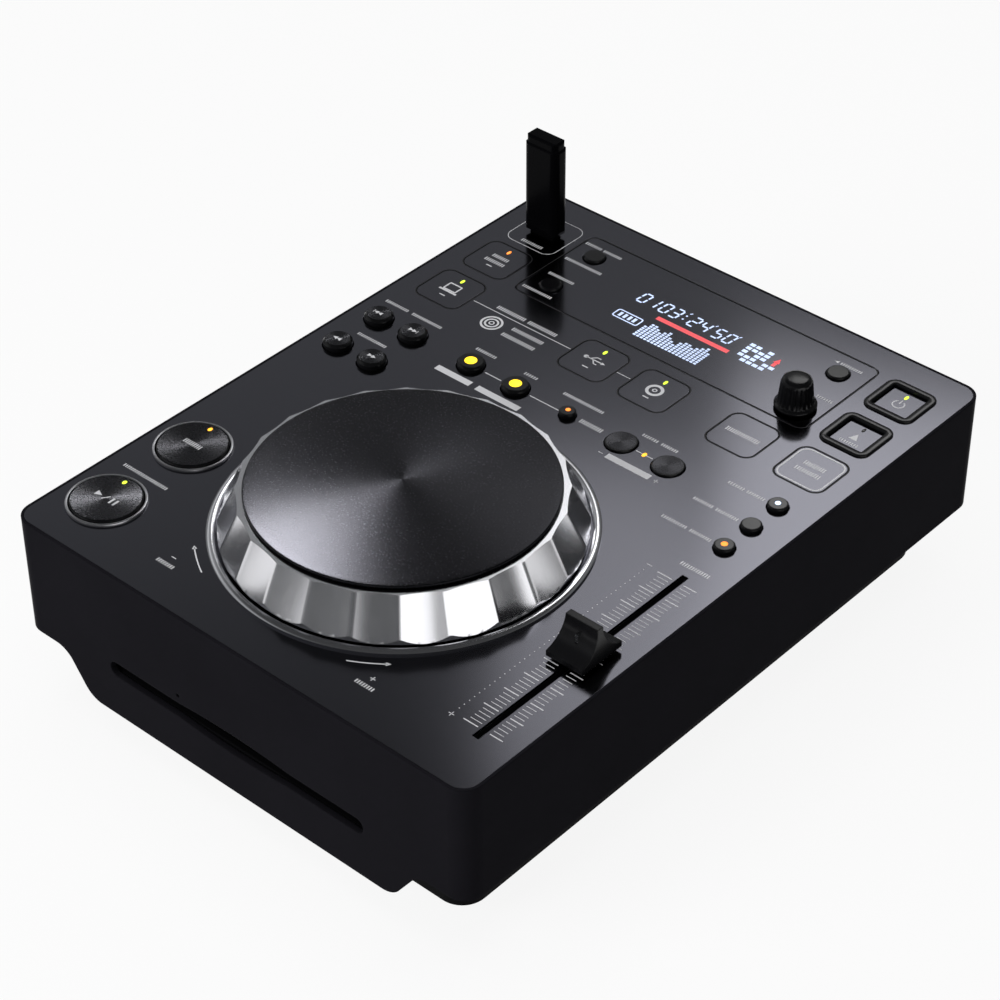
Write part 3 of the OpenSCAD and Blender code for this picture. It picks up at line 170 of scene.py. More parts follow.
def room_step(value, start, end):
    """A smooth step that goes from 0 at start to 1 at end."""
    return add_node(room, "MapRange", {"Value": value, "From Min": start, "From Max": end},
                    interpolation_type="SMOOTHSTEP").outputs["Result"]


sky = add_node(room, "TexCoord").outputs["Generated"]
height = add_node(room, "SeparateXYZ", {0: sky}).outputs["Z"]
pale_side = (0.5 * math.cos(room_turn), 0.5 * math.sin(room_turn), 0)
across = add_node(room, "VectorMath", {0: sky, 1: pale_side}, operation="DOT_PRODUCT")
facing_side = add_math(room, "ADD", across.outputs["Value"], 0.5)
below_dark = add_math(room, "SUBTRACT", 1.0, room_step(height, 0.56, 0.74))
band = add_math(room, "MULTIPLY_ADD", room_step(height, 0.25, 0.45), room_band, room_low)
side_and_height = add_math(room, "MULTIPLY", facing_side, below_dark)
strength = add_math(room, "MULTIPLY_ADD", side_and_height, band, room_dark)
room.links.new(strength, room.nodes["Background"].inputs["Strength"])
room.nodes["Background"].inputs["Color"].default_value = (0.96, 0.98, 1.0, 1)
bpy.context.scene.world = world


# ---- lower case and feet ----
# The tub is moulded in black plastic with a fine spark texture, closed from
# below with six screws, and stands on four moulded rubber feet.
def new_group(name, sockets):
    """A node group with named inputs (name, kind, value) and a colour, a roughness and a normal
    as its outputs. Gives the group, and its input sockets by name."""
    group = bpy.data.node_groups.new(name, "ShaderNodeTree")
    for socket, kind, value in sockets:
        made = group.interface.new_socket(socket, in_out="INPUT", socket_type="NodeSocket" + kind)
        made.default_value = value
    for socket, kind in (("Color", "Color"), ("Roughness", "Float"), ("Normal", "Vector")):
        group.interface.new_socket(socket, in_out="OUTPUT", socket_type="NodeSocket" + kind)
    return group, group.nodes.new("NodeGroupInput").outputs


def group_gives(group, colour, roughness, normal):
    """Links the group's three outputs from these sockets."""
    out = group.nodes.new("NodeGroupOutput")
    for socket, result in (("Color", colour), ("Roughness", roughness), ("Normal", normal)):
        group.links.new(result, out.inputs[socket])
    return group


def tinted(group, shade, amount, colour):
    """The colour times (1 + shade times amount), for a shade that swings round zero."""
    strength = add_math(group, "MULTIPLY_ADD", shade, amount, 1.0)
    return add_node(group, "VectorMath", {0: colour, "Scale": strength},
                    operation="SCALE").outputs[0]


def rounded(group, radius):
    """The normal with every edge rounded to that radius."""
    return add_node(group, "Bevel", {"Radius": radius}, samples=4).outputs["Normal"]


def bumped(group, height, amount, distance, **base):
    """The normal tipped by the slope of a height; distance is how deep it is in metres."""
    inputs = {"Height": height, "Strength": amount, "Distance": distance}
    return add_node(group, "Bump", {**inputs, **base}).outputs["Normal"]


def grain_group():
    """Moulded or painted surface: one noise gives mottled colour and roughness, a finer one the
    texture's bump, and edges are rounded and mixed towards light grey, partly worn where hands rub
    them and partly a painted highlight."""
    group, values = new_group("moulded_grain", [
        ("Color", "Color", (0.05, 0.05, 0.05, 1)), ("Mottle", "Float", 0.1),
        ("Roughness", "Float", 0.4), ("Roughness spread", "Float", 0.06),
        ("Grain scale", "Float", 2500.0), ("Bump", "Float", 0.1),
        ("Edge radius", "Float", 0.0003), ("Edge wear", "Float", 0.3)])
    place = add_node(group, "TexCoord").outputs["Object"]
    cloud = add_node(group, "TexNoise", {"Vector": place, "Scale": 38.0, "Detail": 6.0})
    grain = add_node(group, "TexNoise",
                     {"Vector": place, "Scale": values["Grain scale"], "Detail": 2.0})
    mottle = add_math(group, "SUBTRACT", cloud.outputs["Fac"], 0.5)

    # how far the rounded edge turns from the flat face beside it says where the edge is worn and
    # where the painted highlight goes
    edge = rounded(group, values["Edge radius"])
    flat = add_node(group, "NewGeometry").outputs["Normal"]
    facing = add_node(group, "VectorMath", {0: edge, 1: flat}, operation="DOT_PRODUCT")
    turned_away = add_node(group, "MapRange", {"Value": facing.outputs["Value"],
                                               "From Min": 0.995, "From Max": 0.8})
    wear_and_highlight = add_math(group, "MULTIPLY", turned_away.outputs["Result"], values["Edge wear"])
    # edges are mixed towards light grey: partly worn, partly a painted highlight
    rubbed_and_highlit = add_node(group, "Mix", {
        "Factor": wear_and_highlight, "A": tinted(group, mottle, values["Mottle"], values["Color"]),
        "B": (0.32, 0.32, 0.33, 1)}, data_type="RGBA")
    rough = add_math(group, "MULTIPLY_ADD", mottle, values["Roughness spread"],
                     values["Roughness"])
    normal = bumped(group, grain.outputs["Fac"], values["Bump"], 0.0001, Normal=edge)
    return group_gives(group, rubbed_and_highlit.outputs["Result"], rough, normal)


moulded_grain = grain_group()


def finish(name, group, values, **shader):
    """A material: the group's colour, roughness and normal feed one Principled shader, whose other
    sockets are set by name with _ for a space. Inputs of the group are given by name."""
    material = bpy.data.materials.new(name)
    material.use_nodes = True
    tree = material.node_tree
    surface = tree.nodes["Principled BSDF"]
    effect = tree.nodes.new("ShaderNodeGroup")
    effect.node_tree = group
    for socket, value in values.items():
        effect.inputs[socket].default_value = value
    for given, wanted in (("Color", "Base Color"), ("Roughness", "Roughness"),
                          ("Normal", "Normal")):
        tree.links.new(effect.outputs[given], surface.inputs[wanted])
    for socket, value in shader.items():
        surface.inputs[socket.replace("_", " ")].default_value = value
    return material


def moulding(name, colour, roughness, mottle=0.2, spread=0.08, scale=2500.0, bump=0.1,
             edge=0.0003, wear_and_highlight=0.05, specular=0.5, **shader):
    """A moulded or painted finish with its own colour, grain and edges; its edges are made lighter,
    partly as worn plastic and partly as a painted highlight.
    """
    return finish(name, moulded_grain, {
        "Color": (*colour, 1), "Roughness": roughness, "Mottle": mottle,
        "Roughness spread": spread, "Grain scale": scale, "Bump": bump,
        "Edge radius": edge, "Edge wear": wear_and_highlight}, Specular_IOR_Level=specular, **shader)


def dress(material, *names):
    """The CAD nodes keep their meshes and take this finish."""
    for node in names:
        nodes[node].material_slots[0].material = material


dress(moulding("tub_plastic", (0.004, 0.004, 0.0045), 0.5, scale=1800, bump=0.35,
               edge=0.0006, wear_and_highlight=0.0, specular=0.02), "lower_case")
dress(moulding("foot_rubber", (0.018, 0.018, 0.018), 0.8, mottle=0.5, scale=900, bump=0.3,
               edge=0.0005, specular=0.25), "feet")


# ---- upper case ----
# One gloss black moulding: deck, side walls and the apron with the disc slot.
# Its corners are rounded, and the polish leaves a faint orange peel.
dress(moulding("case_gloss", (0.0092, 0.0088, 0.0110), 0.2, mottle=0.3, spread=0.06, scale=420,
               bump=0.03, edge=0.0009, wear_and_highlight=0.0, specular=0.002), "upper_case")


# ---- control panel ----
# An aluminium sheet, brushed along its width, anodised dark grey and
# lacquered, stuck into the shallow tray on top of the case.
def hairline_group():
    """Brushed metal: a noise stretched a hundred times along one direction gives fine lines,
    which shade the colour, the roughness and a slight bump."""
    group, values = new_group("hairline", [
        ("Color", "Color", (0.1, 0.1, 0.1, 1)), ("Lines", "Float", 0.15),
        ("Roughness", "Float", 0.3), ("Roughness spread", "Float", 0.06),
        ("Across", "Vector", (30.0, 3000.0, 3000.0)), ("Bump", "Float", 0.05),
        ("Edge radius", "Float", 0.0002)])
    place = add_node(group, "TexCoord").outputs["Object"]
    stretched = add_node(group, "VectorMath", {0: place, 1: values["Across"]},
                         operation="MULTIPLY").outputs[0]
    lines = add_node(group, "TexNoise",
                     {"Vector": stretched, "Scale": 1.0, "Detail": 3.0}).outputs["Fac"]
    centred = add_math(group, "SUBTRACT", lines, 0.5)
    colour = tinted(group, centred, values["Lines"], values["Color"])
    rough = add_math(group, "MULTIPLY_ADD", centred, values["Roughness spread"],
                     values["Roughness"])
    normal = bumped(group, lines, values["Bump"], 0.00005,
                    Normal=rounded(group, values["Edge radius"]))
    return group_gives(group, colour, rough, normal)


hairline = hairline_group()


def brushed(name, colour, roughness, across=(30.0, 3000.0, 3000.0), lines=0.3, spread=0.1,
            bump=0.05, edge=0.0002, **shader):
    """A brushed or rolled metal; across gives how fine the lines are along each axis."""
    return finish(name, hairline, {
        "Color": (*colour, 1), "Roughness": roughness, "Lines": lines,
        "Roughness spread": spread, "Across": across, "Bump": bump,
        "Edge radius": edge}, Metallic=1.0, **shader)


dress(brushed("panel_metal", (0.117, 0.117, 0.134), 0.13, lines=0.1, spread=0.02, bump=0.02,
              edge=0.0003), "top_panel")


# ---- panel printing ----
# Signs, rules and scales are screen printed in light grey ink, a few
# hundredths of a millimetre thick, on the panel, the window and the keys.
ink_lift = 0.04 * MM


def ribbon(points, width, closed=False):
    """A line of one width: each point is moved half the width to both sides, at right angles
    to the line from its neighbour before it to the one after it."""
    p = np.asarray(points, float)
    if closed:
        after, before = np.roll(p, -1, 0), np.roll(p, 1, 0)
    else:
        after, before = np.vstack([p[1:], p[-1:]]), np.vstack([p[:1], p[:-1]])
    along = after - before
    along /= np.linalg.norm(along, axis=1)[:, None]
    side = np.column_stack([-along[:, 1], along[:, 0]]) * width / 2
    rim = np.stack([p + side, p - side], 1).reshape(-1, 2)
    i = np.arange(len(p) if closed else len(p) - 1)
    j = (i + 1) % len(p)
    return rim, np.column_stack([2 * i + 1, 2 * j + 1, 2 * j, 2 * i])


def blot(points):
    """A filled outline: triangles from its middle to each of its sides, turned to face up."""
    p = np.asarray(points, float)
    area = np.sum(p[:, 0] * np.roll(p[:, 1], -1) - p[:, 1] * np.roll(p[:, 0], -1))
    p = p if area > 0 else p[::-1]
    count = len(p)
    i = np.arange(count)
    return np.vstack([p, p.mean(0)]), np.column_stack([i, (i + 1) % count, np.full(count, count)])


def arc(x, y, r, start, end, steps=32):
    """Points on a circle from one angle to another, in degrees."""
    a = np.radians(np.linspace(start, end, steps))
    return np.column_stack([x + r * np.cos(a), y + r * np.sin(a)])


def circle(x, y, r, steps=32):
    """Points round a whole circle, the first not repeated."""
    return arc(x, y, r, 0, 360 * (1 - 1 / steps), steps)


def frame_line(x, y, w, d, r, steps=7):
    """Points round a rectangle with rounded corners, anticlockwise."""
    turns = [(1, 1, 0), (-1, 1, 90), (-1, -1, 180), (1, -1, 270)]
    return np.vstack([arc(x + sx * (w / 2 - r), y + sy * (d / 2 - r), r, a, a + 90, steps)
                      for sx, sy, a in turns])


def rule(x0, y0, x1, y1, width=0.35):
    """A straight printed line."""
    return ribbon([(x0, y0), (x1, y1)], width)


def bar(x0, y0, x1, y1):
    """A filled upright rectangle from corner to corner."""
    return blot([(x0, y0), (x1, y0), (x1, y1), (x0, y1)])


def arrow(x, y, size, turn=0.0):
    """A filled triangle that points to the right, or to the given angle."""
    a = np.radians(turn + np.array([0, 130, 230]))
    return blot(np.column_stack([x + size * np.cos(a), y + size * np.sin(a)]))


SEGMENTS = {"a": ((0, 2), (1, 2)), "b": ((1, 1), (1, 2)), "c": ((1, 0), (1, 1)),
            "d": ((0, 0), (1, 0)), "e": ((0, 0), (0, 1)), "f": ((0, 1), (0, 2)),
            "g": ((0, 1), (1, 1))}
DIGITS = {"0": "abcdef", "1": "bc", "2": "abged", "3": "abgcd", "4": "fgbc", "5": "afgcd"}


def digit(sign, x, y, w, h, width, slant=0.12):
    """One seven-segment number: each lit bar is a short line between two of its six corners."""
    marks = []
    for name in DIGITS[sign]:
        ends = np.array(SEGMENTS[name], float)
        centre = ends.mean(0)
        ends = centre + (ends - centre) * (1 - 0.9 * width / (w if name in "adg" else h / 2))
        at = ends * [w, h / 2]
        at[:, 0] += x + slant * at[:, 1]
        at[:, 1] += y
        marks.append(ribbon(at, width))
    return marks


def smooth(mesh, sharp):
    """Shades a mesh smooth, but for the edges that turn by more than this angle in degrees."""
    mesh.polygons.foreach_set("use_smooth", np.ones(len(mesh.polygons), bool))
    mesh.set_sharp_from_angle(angle=math.radians(sharp))


def add_mesh(name, points, faces, material, body):
    """A piece made of points, in metres, and faces, with one material; it rides on a body."""
    mesh = bpy.data.meshes.new(name)
    mesh.from_pydata(points.tolist(), [], faces)
    mesh.materials.append(material)
    piece = bpy.data.objects.new(name, mesh)
    bpy.context.scene.collection.objects.link(piece)
    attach(piece, body)
    return piece


def print_on(name, marks, height, material, body="root"):
    """A piece's marks as one flat mesh, just over the surface at that height in metres."""
    points, faces, count = [], [], 0
    for rim, corners in marks:
        points.append(rim)
        faces += (corners + count).tolist()
        count += len(rim)
    flat = np.vstack(points) * MM
    return add_mesh(name, np.column_stack([flat, np.full(len(flat), height + ink_lift)]), faces,
                    material, body)


ink_grey = moulding("ink_grey", (0.60, 0.60, 0.62), 0.55, mottle=0.25, scale=900, edge=0.0,
                    wear_and_highlight=0.0, specular=0.3)
# painted shade for the gaps round the holes in the panel
painted_gap_shade = moulding("painted_gap_shade", (0.01, 0.01, 0.011), 0.4, scale=900, edge=0.0, wear_and_highlight=0.0,
                    specular=0.3)


def middle(node):
    """A node's middle seen from above, in millimetres."""
    low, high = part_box(node)
    return (low.x + high.x) / 2 / MM, (low.y + high.y) / 2 / MM


def skip_sign(x, y, turn, stop):
    """Two arrows in a row, with a bar in front of them for the track keys."""
    size = 1.25
    ahead = size if turn == 0 else -size
    marks = [arrow(x + share * ahead, y, size, turn) for share in (-0.75, 0.75)]
    if stop:
        tip = x + 1.85 * ahead
        marks.append(bar(tip - 0.12, y - 0.75 * size, tip + 0.12, y + 0.75 * size))
    return marks


def caption(x0, x1, y, tall=1.6):
    """A row of short upright strokes from x0 to x1, where a label would stand."""
    return [bar(x, y - tall / 2, x + 0.5, y + tall / 2)
            for x in np.linspace(x0, x1 - 0.5, max(2, round((x1 - x0) / 0.95)))]


def plus(x, y, size=1.2, width=0.3):
    """Two crossed lines."""
    return [rule(x - size, y, x + size, y, width), rule(x, y - size, x, y + size, width)]


signs = []
# source keys joined by a line, with a small disc drawn under it
source_row = middle("disc_source_key")[1]
signs += [rule(-76.2, source_row, -26.2, source_row), rule(-3.3, source_row, 3.4, source_row)]
signs += [ribbon(circle(-60.7, 57.3, radius, steps), width, True)
          for radius, width, steps in ((4.2, 0.9, 32), (2.6, 0.8, 32), (1.0, 0.5, 16))]
# labels near the keys: where a row lies and how tall it is, then each label's ends
LABEL_ROWS = {(67.2, 2.1): ((-66.2, -52.2), (-50.2, -36.2)), (59.8, 2.1): ((-51.9, -36.7),),
              (54.6, 2.1): ((-52.8, -36.7),), (41.7, 1.6): ((-102, -90.5), (-88, -73)),
              (18.2, 1.6): ((-94.8, -80.3),), (31.7, 2.3): ((6.3, 16.7),),
              (40.8, 1.6): ((-53.6, -43.8), (-29, -22.9), (-9.5, 9.7)),
              (40.3, 1.6): ((29.3, 36.3), (38.2, 45.5)), (-98.3, 1.6): ((-100.7, -78.4),),
              (-8.3, 2.0): ((86.4, 98.8),)}
for (y, tall), labels in LABEL_ROWS.items():
    for x0, x1 in labels:
        signs += caption(x0, x1, y, tall)
# loop keys: lines between them, grey bars below
loop_x, loop_y = middle("loop_in_button")
out_x, exit_x = middle("loop_out_button")[0], middle("loop_exit_button")[0]
half_x, double_x = middle("beat_half_button")[0], middle("beat_double_button")[0]
signs += [rule(loop_x + 7.2, loop_y, out_x - 7.2, loop_y, 0.45),
          rule(out_x + 7.2, loop_y, exit_x - 4.4, loop_y, 0.45),
          rule(half_x + 7.1, loop_y, double_x - 7.1, loop_y, 0.45)]
signs += [bar(x0, 20.3, x1, 23.3) for x0, x1 in ((-57, -39.6), (-36.5, -15.4), (27.3, 47.6))]
signs += [rule(23.6, 21.6, 25.6, 21.6)] + plus(50.6, 21.6, 1.0)
# labels and marks left of the tempo mode buttons
for node, x0, x1, x2 in (("vinyl_mode_button", 70.5, 77.5, 79),
                         ("tempo_range_button", 66.8, 75.3, 77),
                         ("master_tempo_button", 64.7, 75.6, 77.4)):
    row = middle(node)[1]
    signs += caption(x0, x1, row) + caption(x2, 86.6, row)
# signs by the port and round the jog wheel
port_x, port_y = middle("memory_stick")
signs += [ribbon(frame_line(port_x, port_y, 24, 24, 4.5), 0.3, True)]
signs += caption(port_x - 4.5, port_x + 6, port_y - 9.2, 1.8)
jog_x, jog_y = middle("touch_disc")
sign_r, sign_x, sign_y = 74.2, 48, -123.3
for side, first, last in ((-1, 231, 242), (1, 309, 298)):
    sweep = arc(jog_x, jog_y, sign_r, first, last, 12)
    signs += [ribbon(sweep, 0.5), arrow(*sweep[0], 1.2, first + 90 * side),
              rule(side * sign_x - 1.1, sign_y, side * sign_x + 1.1, sign_y)]
    signs += caption(side * sign_x - 4, side * sign_x + 4, sign_y - 4.1, 1.8)
signs += [rule(sign_x, sign_y - 1.1, sign_x, sign_y + 1.1)]
# tempo scale: a tick each 2 mm, a longer one each 10 mm
slot_x = middle("fader_track")[0]
track_low, track_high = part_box("fader_track")
scale_y = (track_low.y + track_high.y) / 2 / MM
for i in range(51):
    y = scale_y + 2 * (i - 25)
    left, right, width = (9, 8.2, 0.45) if i % 5 == 0 else (7.6, 6.9, 0.26)
    signs += [rule(slot_x - left, y, slot_x - 2.6, y, width),
              rule(slot_x + 2.6, y, slot_x + right, y, width)]
signs += [bar(slot_x - 13.5, scale_y - 50 + 2.5 * i, slot_x - 13.1, scale_y - 49.6 + 2.5 * i)
          for i in range(1, 40)]
signs += [rule(slot_x - 14.6, scale_y + 51, slot_x - 12.2, scale_y + 51, 0.3)]
signs += plus(slot_x - 13.4, scale_y - 51)
print_on("panel_signs", signs, panel_top, ink_grey)

window_low, window_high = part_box("display_window")
window_top = window_high.z
window_signs = [arrow(55.4, 125, 1.1, 180)]
for x0, x1, y in ((-69.8, -62, 125), (-60.5, -51.7, 125), (-69, -50.7, 111.2), (-67, -54.5, 98.8),
                  (-69, -54.5, 85.3), (57.2, 66.8, 125), (62.7, 69.7, 102.2)):
    window_signs += caption(x0, x1, y)
print_on("window_signs", window_signs, window_top, ink_grey)

# dark lines round the key holes and the window are painted shade, standing in for the gaps between
# the sheet and the keys and window set in its holes
hole_side, hole_corner, gap_shade_width = 22.35, 4.65, 0.5
edges = [ribbon(frame_line(*middle(node), hole_side, hole_side, hole_corner), gap_shade_width, True)
         for node in ("usb_stop_key", "computer_source_key", "usb_source_key", "disc_source_key",
                      "playlist_key", "beat_lock_key")]
window_side = [(high - low) / MM + 1.3 for low, high in zip(window_low.xy, window_high.xy)]
edges += [ribbon(frame_line(*middle("display_window"), *window_side, 5), gap_shade_width, True)]
print_on("hole_gap_shade", edges, panel_top, painted_gap_shade)


# ---- display ----
# A vacuum tube lies under a smoked window, half silvered, that is set flush
# into the panel. Only the tube's pale blue numbers, its red time bar and its
# level meter come through, so they are drawn as lit marks on the window.
dress(brushed("window_glass", (0.112, 0.112, 0.128), 0.13, lines=0.02, spread=0.02, bump=0.0,
              edge=0.0003), "display_window")
dress(moulding("tube_glass", (0.003, 0.003, 0.0035), 0.3, mottle=0.1, scale=300, bump=0.0,
               edge=0.0, wear_and_highlight=0.0, specular=0.0), "display_module")


def glowing(name, colour, strength):
    """A lit surface whose brightness varies a little, as phosphor and moulded lenses do."""
    material = moulding(name, colour, 0.35, mottle=0.6, scale=900, edge=0.0)
    tree = material.node_tree
    surface = tree.nodes["Principled BSDF"]
    effect = next(n for n in tree.nodes if n.type == "GROUP")
    tree.links.new(effect.outputs["Color"], surface.inputs["Emission Color"])
    surface.inputs["Emission Strength"].default_value = strength
    return material


blue_glow = glowing("blue_glow", (0.42, 0.50, 0.70), 1.0)
red_glow = glowing("red_glow", (0.52, 0.06, 0.07), 1.0)
window_x, window_y = middle("display_window")
digit_y = window_y + 0.6
digit_w, digit_h, stroke = 3.3, 6.4, 0.8
lit = []
for x, sign in zip((-29.4, -24.4, -18.6, -13.4, -4.4, 0.8, 7.6, 12.8), "01032450"):
    lit += digit(sign, window_x + x, digit_y, digit_w, digit_h, stroke)
lit += [blot(circle(window_x - 7.2, digit_y + h, 0.45, 10)) for h in (1.8, 4.4)]
lit += [rule(window_x + x, digit_y + 6.2, window_x + x + 0.7, digit_y + 7.2, 0.5)
        for x in (-7.0, 5.6, 17.2)]
tag_y = digit_y - 11.4
lit += [ribbon(frame_line(window_x - 24, tag_y, 12, 5, 1), 0.6, True)]
lit += [bar(window_x + x, tag_y - 1.4, window_x + x + 1.3, tag_y + 1.4)
        for x in (-28.2, -25.9, -23.6, -21.3)]
# level meter: columns of square dots whose heights follow a slow wave
for column in range(18):
    tall = 4 + round(2.5 + 2.4 * math.sin(column * 0.9) * math.cos(column * 0.37))
    x = window_x - 15.5 + 1.75 * column
    lit += [bar(x, digit_y - 19 + 1.35 * dot, x + 1.25, digit_y - 18 + 1.35 * dot)
            for dot in range(tall)]
# a block of small flags on the right
lit += [bar(window_x + 23 + 2.9 * i, digit_y - 5.4 + 2.6 * j, window_x + 25.3 + 2.9 * i,
            digit_y - 3.6 + 2.6 * j) for i in range(6) for j in range(5)
        if (i * 3 + j) % 5 and (i < 4 or j < 2)]
print_on("display_numbers", lit, window_top, blue_glow)
red_marks = [bar(window_x - 15.3, digit_y - 5.2, window_x + 19.7, digit_y - 2.9),
             arrow(window_x + 38, digit_y + 3.4, 1.9, 90),
             bar(window_x + 37.2, digit_y - 0.4, window_x + 38.8, digit_y + 2.6)]
print_on("display_time_bar", red_marks, window_top, red_glow)


# ---- key tops ----
# The square keys are cut from the same sheet as the panel and lie flush with
# it. Their signs are printed, and a slit lens in some of them lights up.
def power_sign(x, y):
    """A ring that is open at the top, with an upright stroke in the gap."""
    return [ribbon(arc(x, y - 1, 2.3, 125, 415), 0.5), rule(x, y - 0.6, x, y + 2.0, 0.5)]


def eject_sign(x, y):
    """An arrow that points up, over a short row of strokes."""
    return [arrow(x, y - 0.9, 2.4, 90)] + caption(x - 4, x + 4, y - 4.9, 1.5)


def lock_sign(x, y):
    """A line along the key's edge, round two rows of strokes."""
    return [ribbon(frame_line(x, y, 19.6, 19.6, 3.6), 0.65, True)] + \
        caption(x - 4.6, x + 4.6, y + 2.2, 2.4) + caption(x - 5.4, x + 5.4, y - 2.2, 2.4)


def playlist_sign(x, y):
    """One row of strokes."""
    return caption(x - 7.4, x + 7.4, y, 2.3)


def source_dash(x, y):
    """The dash at the foot of a source key's sign."""
    return [bar(x - 1.4, y - 5.4, x + 1.4, y - 4.8)]


def disc_sign(x, y):
    """Two rings, one in the other: a disc with its hole."""
    return source_dash(x, y) + [ribbon(circle(x, y + 0.4, 3.0), 1.3, True),
                                ribbon(circle(x, y + 0.4, 0.8, 14), 0.5, True)]


def fork_sign(x, y):
    """A stem with two branches, a blot at one end and an arrow at the other."""
    y += 0.4
    return source_dash(x, y - 0.4) + [
        rule(x - 4, y, x + 3.6, y, 0.55), blot(circle(x - 4, y, 1.0, 14)), arrow(x + 4.2, y, 1.1),
        ribbon([(x - 2, y), (x, y + 2), (x + 1.8, y + 2)], 0.5),
        ribbon([(x - 0.6, y), (x + 1.2, y - 2), (x + 2.6, y - 2)], 0.5)]


def screen_sign(x, y):
    """A small screen on its foot."""
    return source_dash(x, y) + [ribbon(frame_line(x, y + 1.2, 6.0, 4.4, 0.4), 0.7, True),
                                ribbon([(x - 4.4, y - 1.9), (x + 4.4, y - 1.9)], 1.0)]


def stop_sign(x, y):
    """Two rows of strokes over the dash."""
    return caption(x - 3.9, x + 3.9, y + 1.9, 2.0) + caption(x - 4.8, x + 4.8, y - 1.8, 2.0) + \
        source_dash(x, y)


KEY_SIGNS = {"power_key": power_sign, "eject_key": eject_sign, "beat_lock_key": lock_sign,
             "playlist_key": playlist_sign, "disc_source_key": disc_sign,
             "usb_source_key": fork_sign, "computer_source_key": screen_sign,
             "usb_stop_key": stop_sign}
dress(brushed("key_grey", (0.117, 0.117, 0.134), 0.14, lines=0.1, spread=0.02, bump=0.02,
              edge=0.00035), *KEY_SIGNS)
for node, drawn in KEY_SIGNS.items():
    print_on(node + "_sign", drawn(*middle(node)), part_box(node)[1].z, ink_grey, node)


# ---- lamps ----
# Small moulded lenses stand a hair over the keys and the panel, lit from
# below by coloured diodes. One of them, on the eject key, is dark.
def dome(name, x, y, z, half_x, half_y, rise, material, body, turns=24, rings=7):
    """A low lens: rings shrink as the cosine and rise as the sine of an angle from 0 to 90."""
    a = np.linspace(0, 2 * np.pi, turns, endpoint=False)
    lift = np.linspace(0, np.pi / 2, rings)[:-1]
    px = x + half_x * np.cos(lift)[:, None] * np.cos(a)
    py = y + half_y * np.cos(lift)[:, None] * np.sin(a)
    pz = z + rise * np.sin(lift)[:, None] + 0 * a
    points = np.stack([px, py, pz], -1).reshape(-1, 3)
    i, j = np.meshgrid(np.arange(rings - 2), np.arange(turns), indexing="ij")
    k = (j + 1) % turns
    quads = np.stack([i * turns + j, i * turns + k, (i + 1) * turns + k, (i + 1) * turns + j], -1)
    last = (rings - 2) * turns
    ring = np.arange(turns)
    cap = np.column_stack([last + ring, last + (ring + 1) % turns, np.full(turns, len(points))])
    points = np.vstack([points, [x, y, z + rise]]) * MM
    piece = add_mesh(name, points, quads.reshape(-1, 4).tolist() + cap.tolist(), material, body)
    smooth(piece.data, 60)


green_lens = glowing("green_lens", (0.55, 0.78, 0.04), 1.6)
orange_lens = glowing("orange_lens", (0.9, 0.22, 0.03), 1.6)
amber_lens = glowing("amber_lens", (0.95, 0.42, 0.03), 1.6)
blue_lens = glowing("blue_lens", (0.55, 0.72, 1.0), 1.8)
yellow_lens = glowing("yellow_lens", (0.95, 0.62, 0.02), 1.5)
dark_lens = moulding("dark_lens", (0.02, 0.02, 0.02), 0.15, scale=900, edge=0.0)


def key_lens(node, lens, right, up, half_x, half_y, rise, sunk=0.0):
    """A key's lens: a dome on its top, so far to the right of its middle and up from it."""
    x, y = middle(node)
    dome(node + "_lamp", x + right, y + up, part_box(node)[1].z / MM - sunk, half_x, half_y, rise,
         lens, node)


for node, lens, up in (("power_key", green_lens, 4.3), ("eject_key", dark_lens, 4.9),
                       ("disc_source_key", green_lens, 6.9), ("usb_source_key", green_lens, 6.9),
                       ("computer_source_key", green_lens, 6.9),
                       ("usb_stop_key", orange_lens, 7.0)):
    key_lens(node, lens, 0, up, 0.65, 1.35, 0.25)
dome("beat_lamp", (half_x + double_x) / 2, loop_y, panel_top / MM, 0.8, 1.3, 0.3, amber_lens,
     "root")


# ---- round buttons ----
# Round keys moulded in gloss black plastic. The loop keys have a wide lit
# lens in their middle, and cue and play a small one near the edge.
button_gloss = moulding("button_gloss", (0.003, 0.003, 0.0034), 0.14, scale=600, bump=0.03,
                        edge=0.0007, wear_and_highlight=0.0, specular=0.4)
dress(button_gloss, *(node for node in nodes if node.endswith("_button")))
# signs lie over the spun plates of their keys
skip_lift, sign_lift = 0.06 * MM, 0.07 * MM
for node, turn, stop in (("track_back_button", 180, True), ("track_next_button", 0, True),
                         ("search_back_button", 180, False), ("search_next_button", 0, False)):
    marks = skip_sign(*middle(node), turn, stop)
    print_on(node + "_sign", marks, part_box(node)[1].z + skip_lift, ink_grey, node)
for node, lens, radius, up in (("loop_in_button", yellow_lens, 2.5, 0),
                               ("loop_out_button", yellow_lens, 2.5, 0),
                               ("loop_exit_button", orange_lens, 1.0, 0.4),
                               ("vinyl_mode_button", blue_lens, 1.1, 0),
                               ("master_tempo_button", orange_lens, 1.3, 0)):
    key_lens(node, lens, 0, up, radius, radius, 0.35, sunk=0.05)
for node, lens in (("cue_button", amber_lens), ("play_button", green_lens)):
    key_lens(node, lens, -1.6, 10.4, 0.9, 1.2, 0.35)


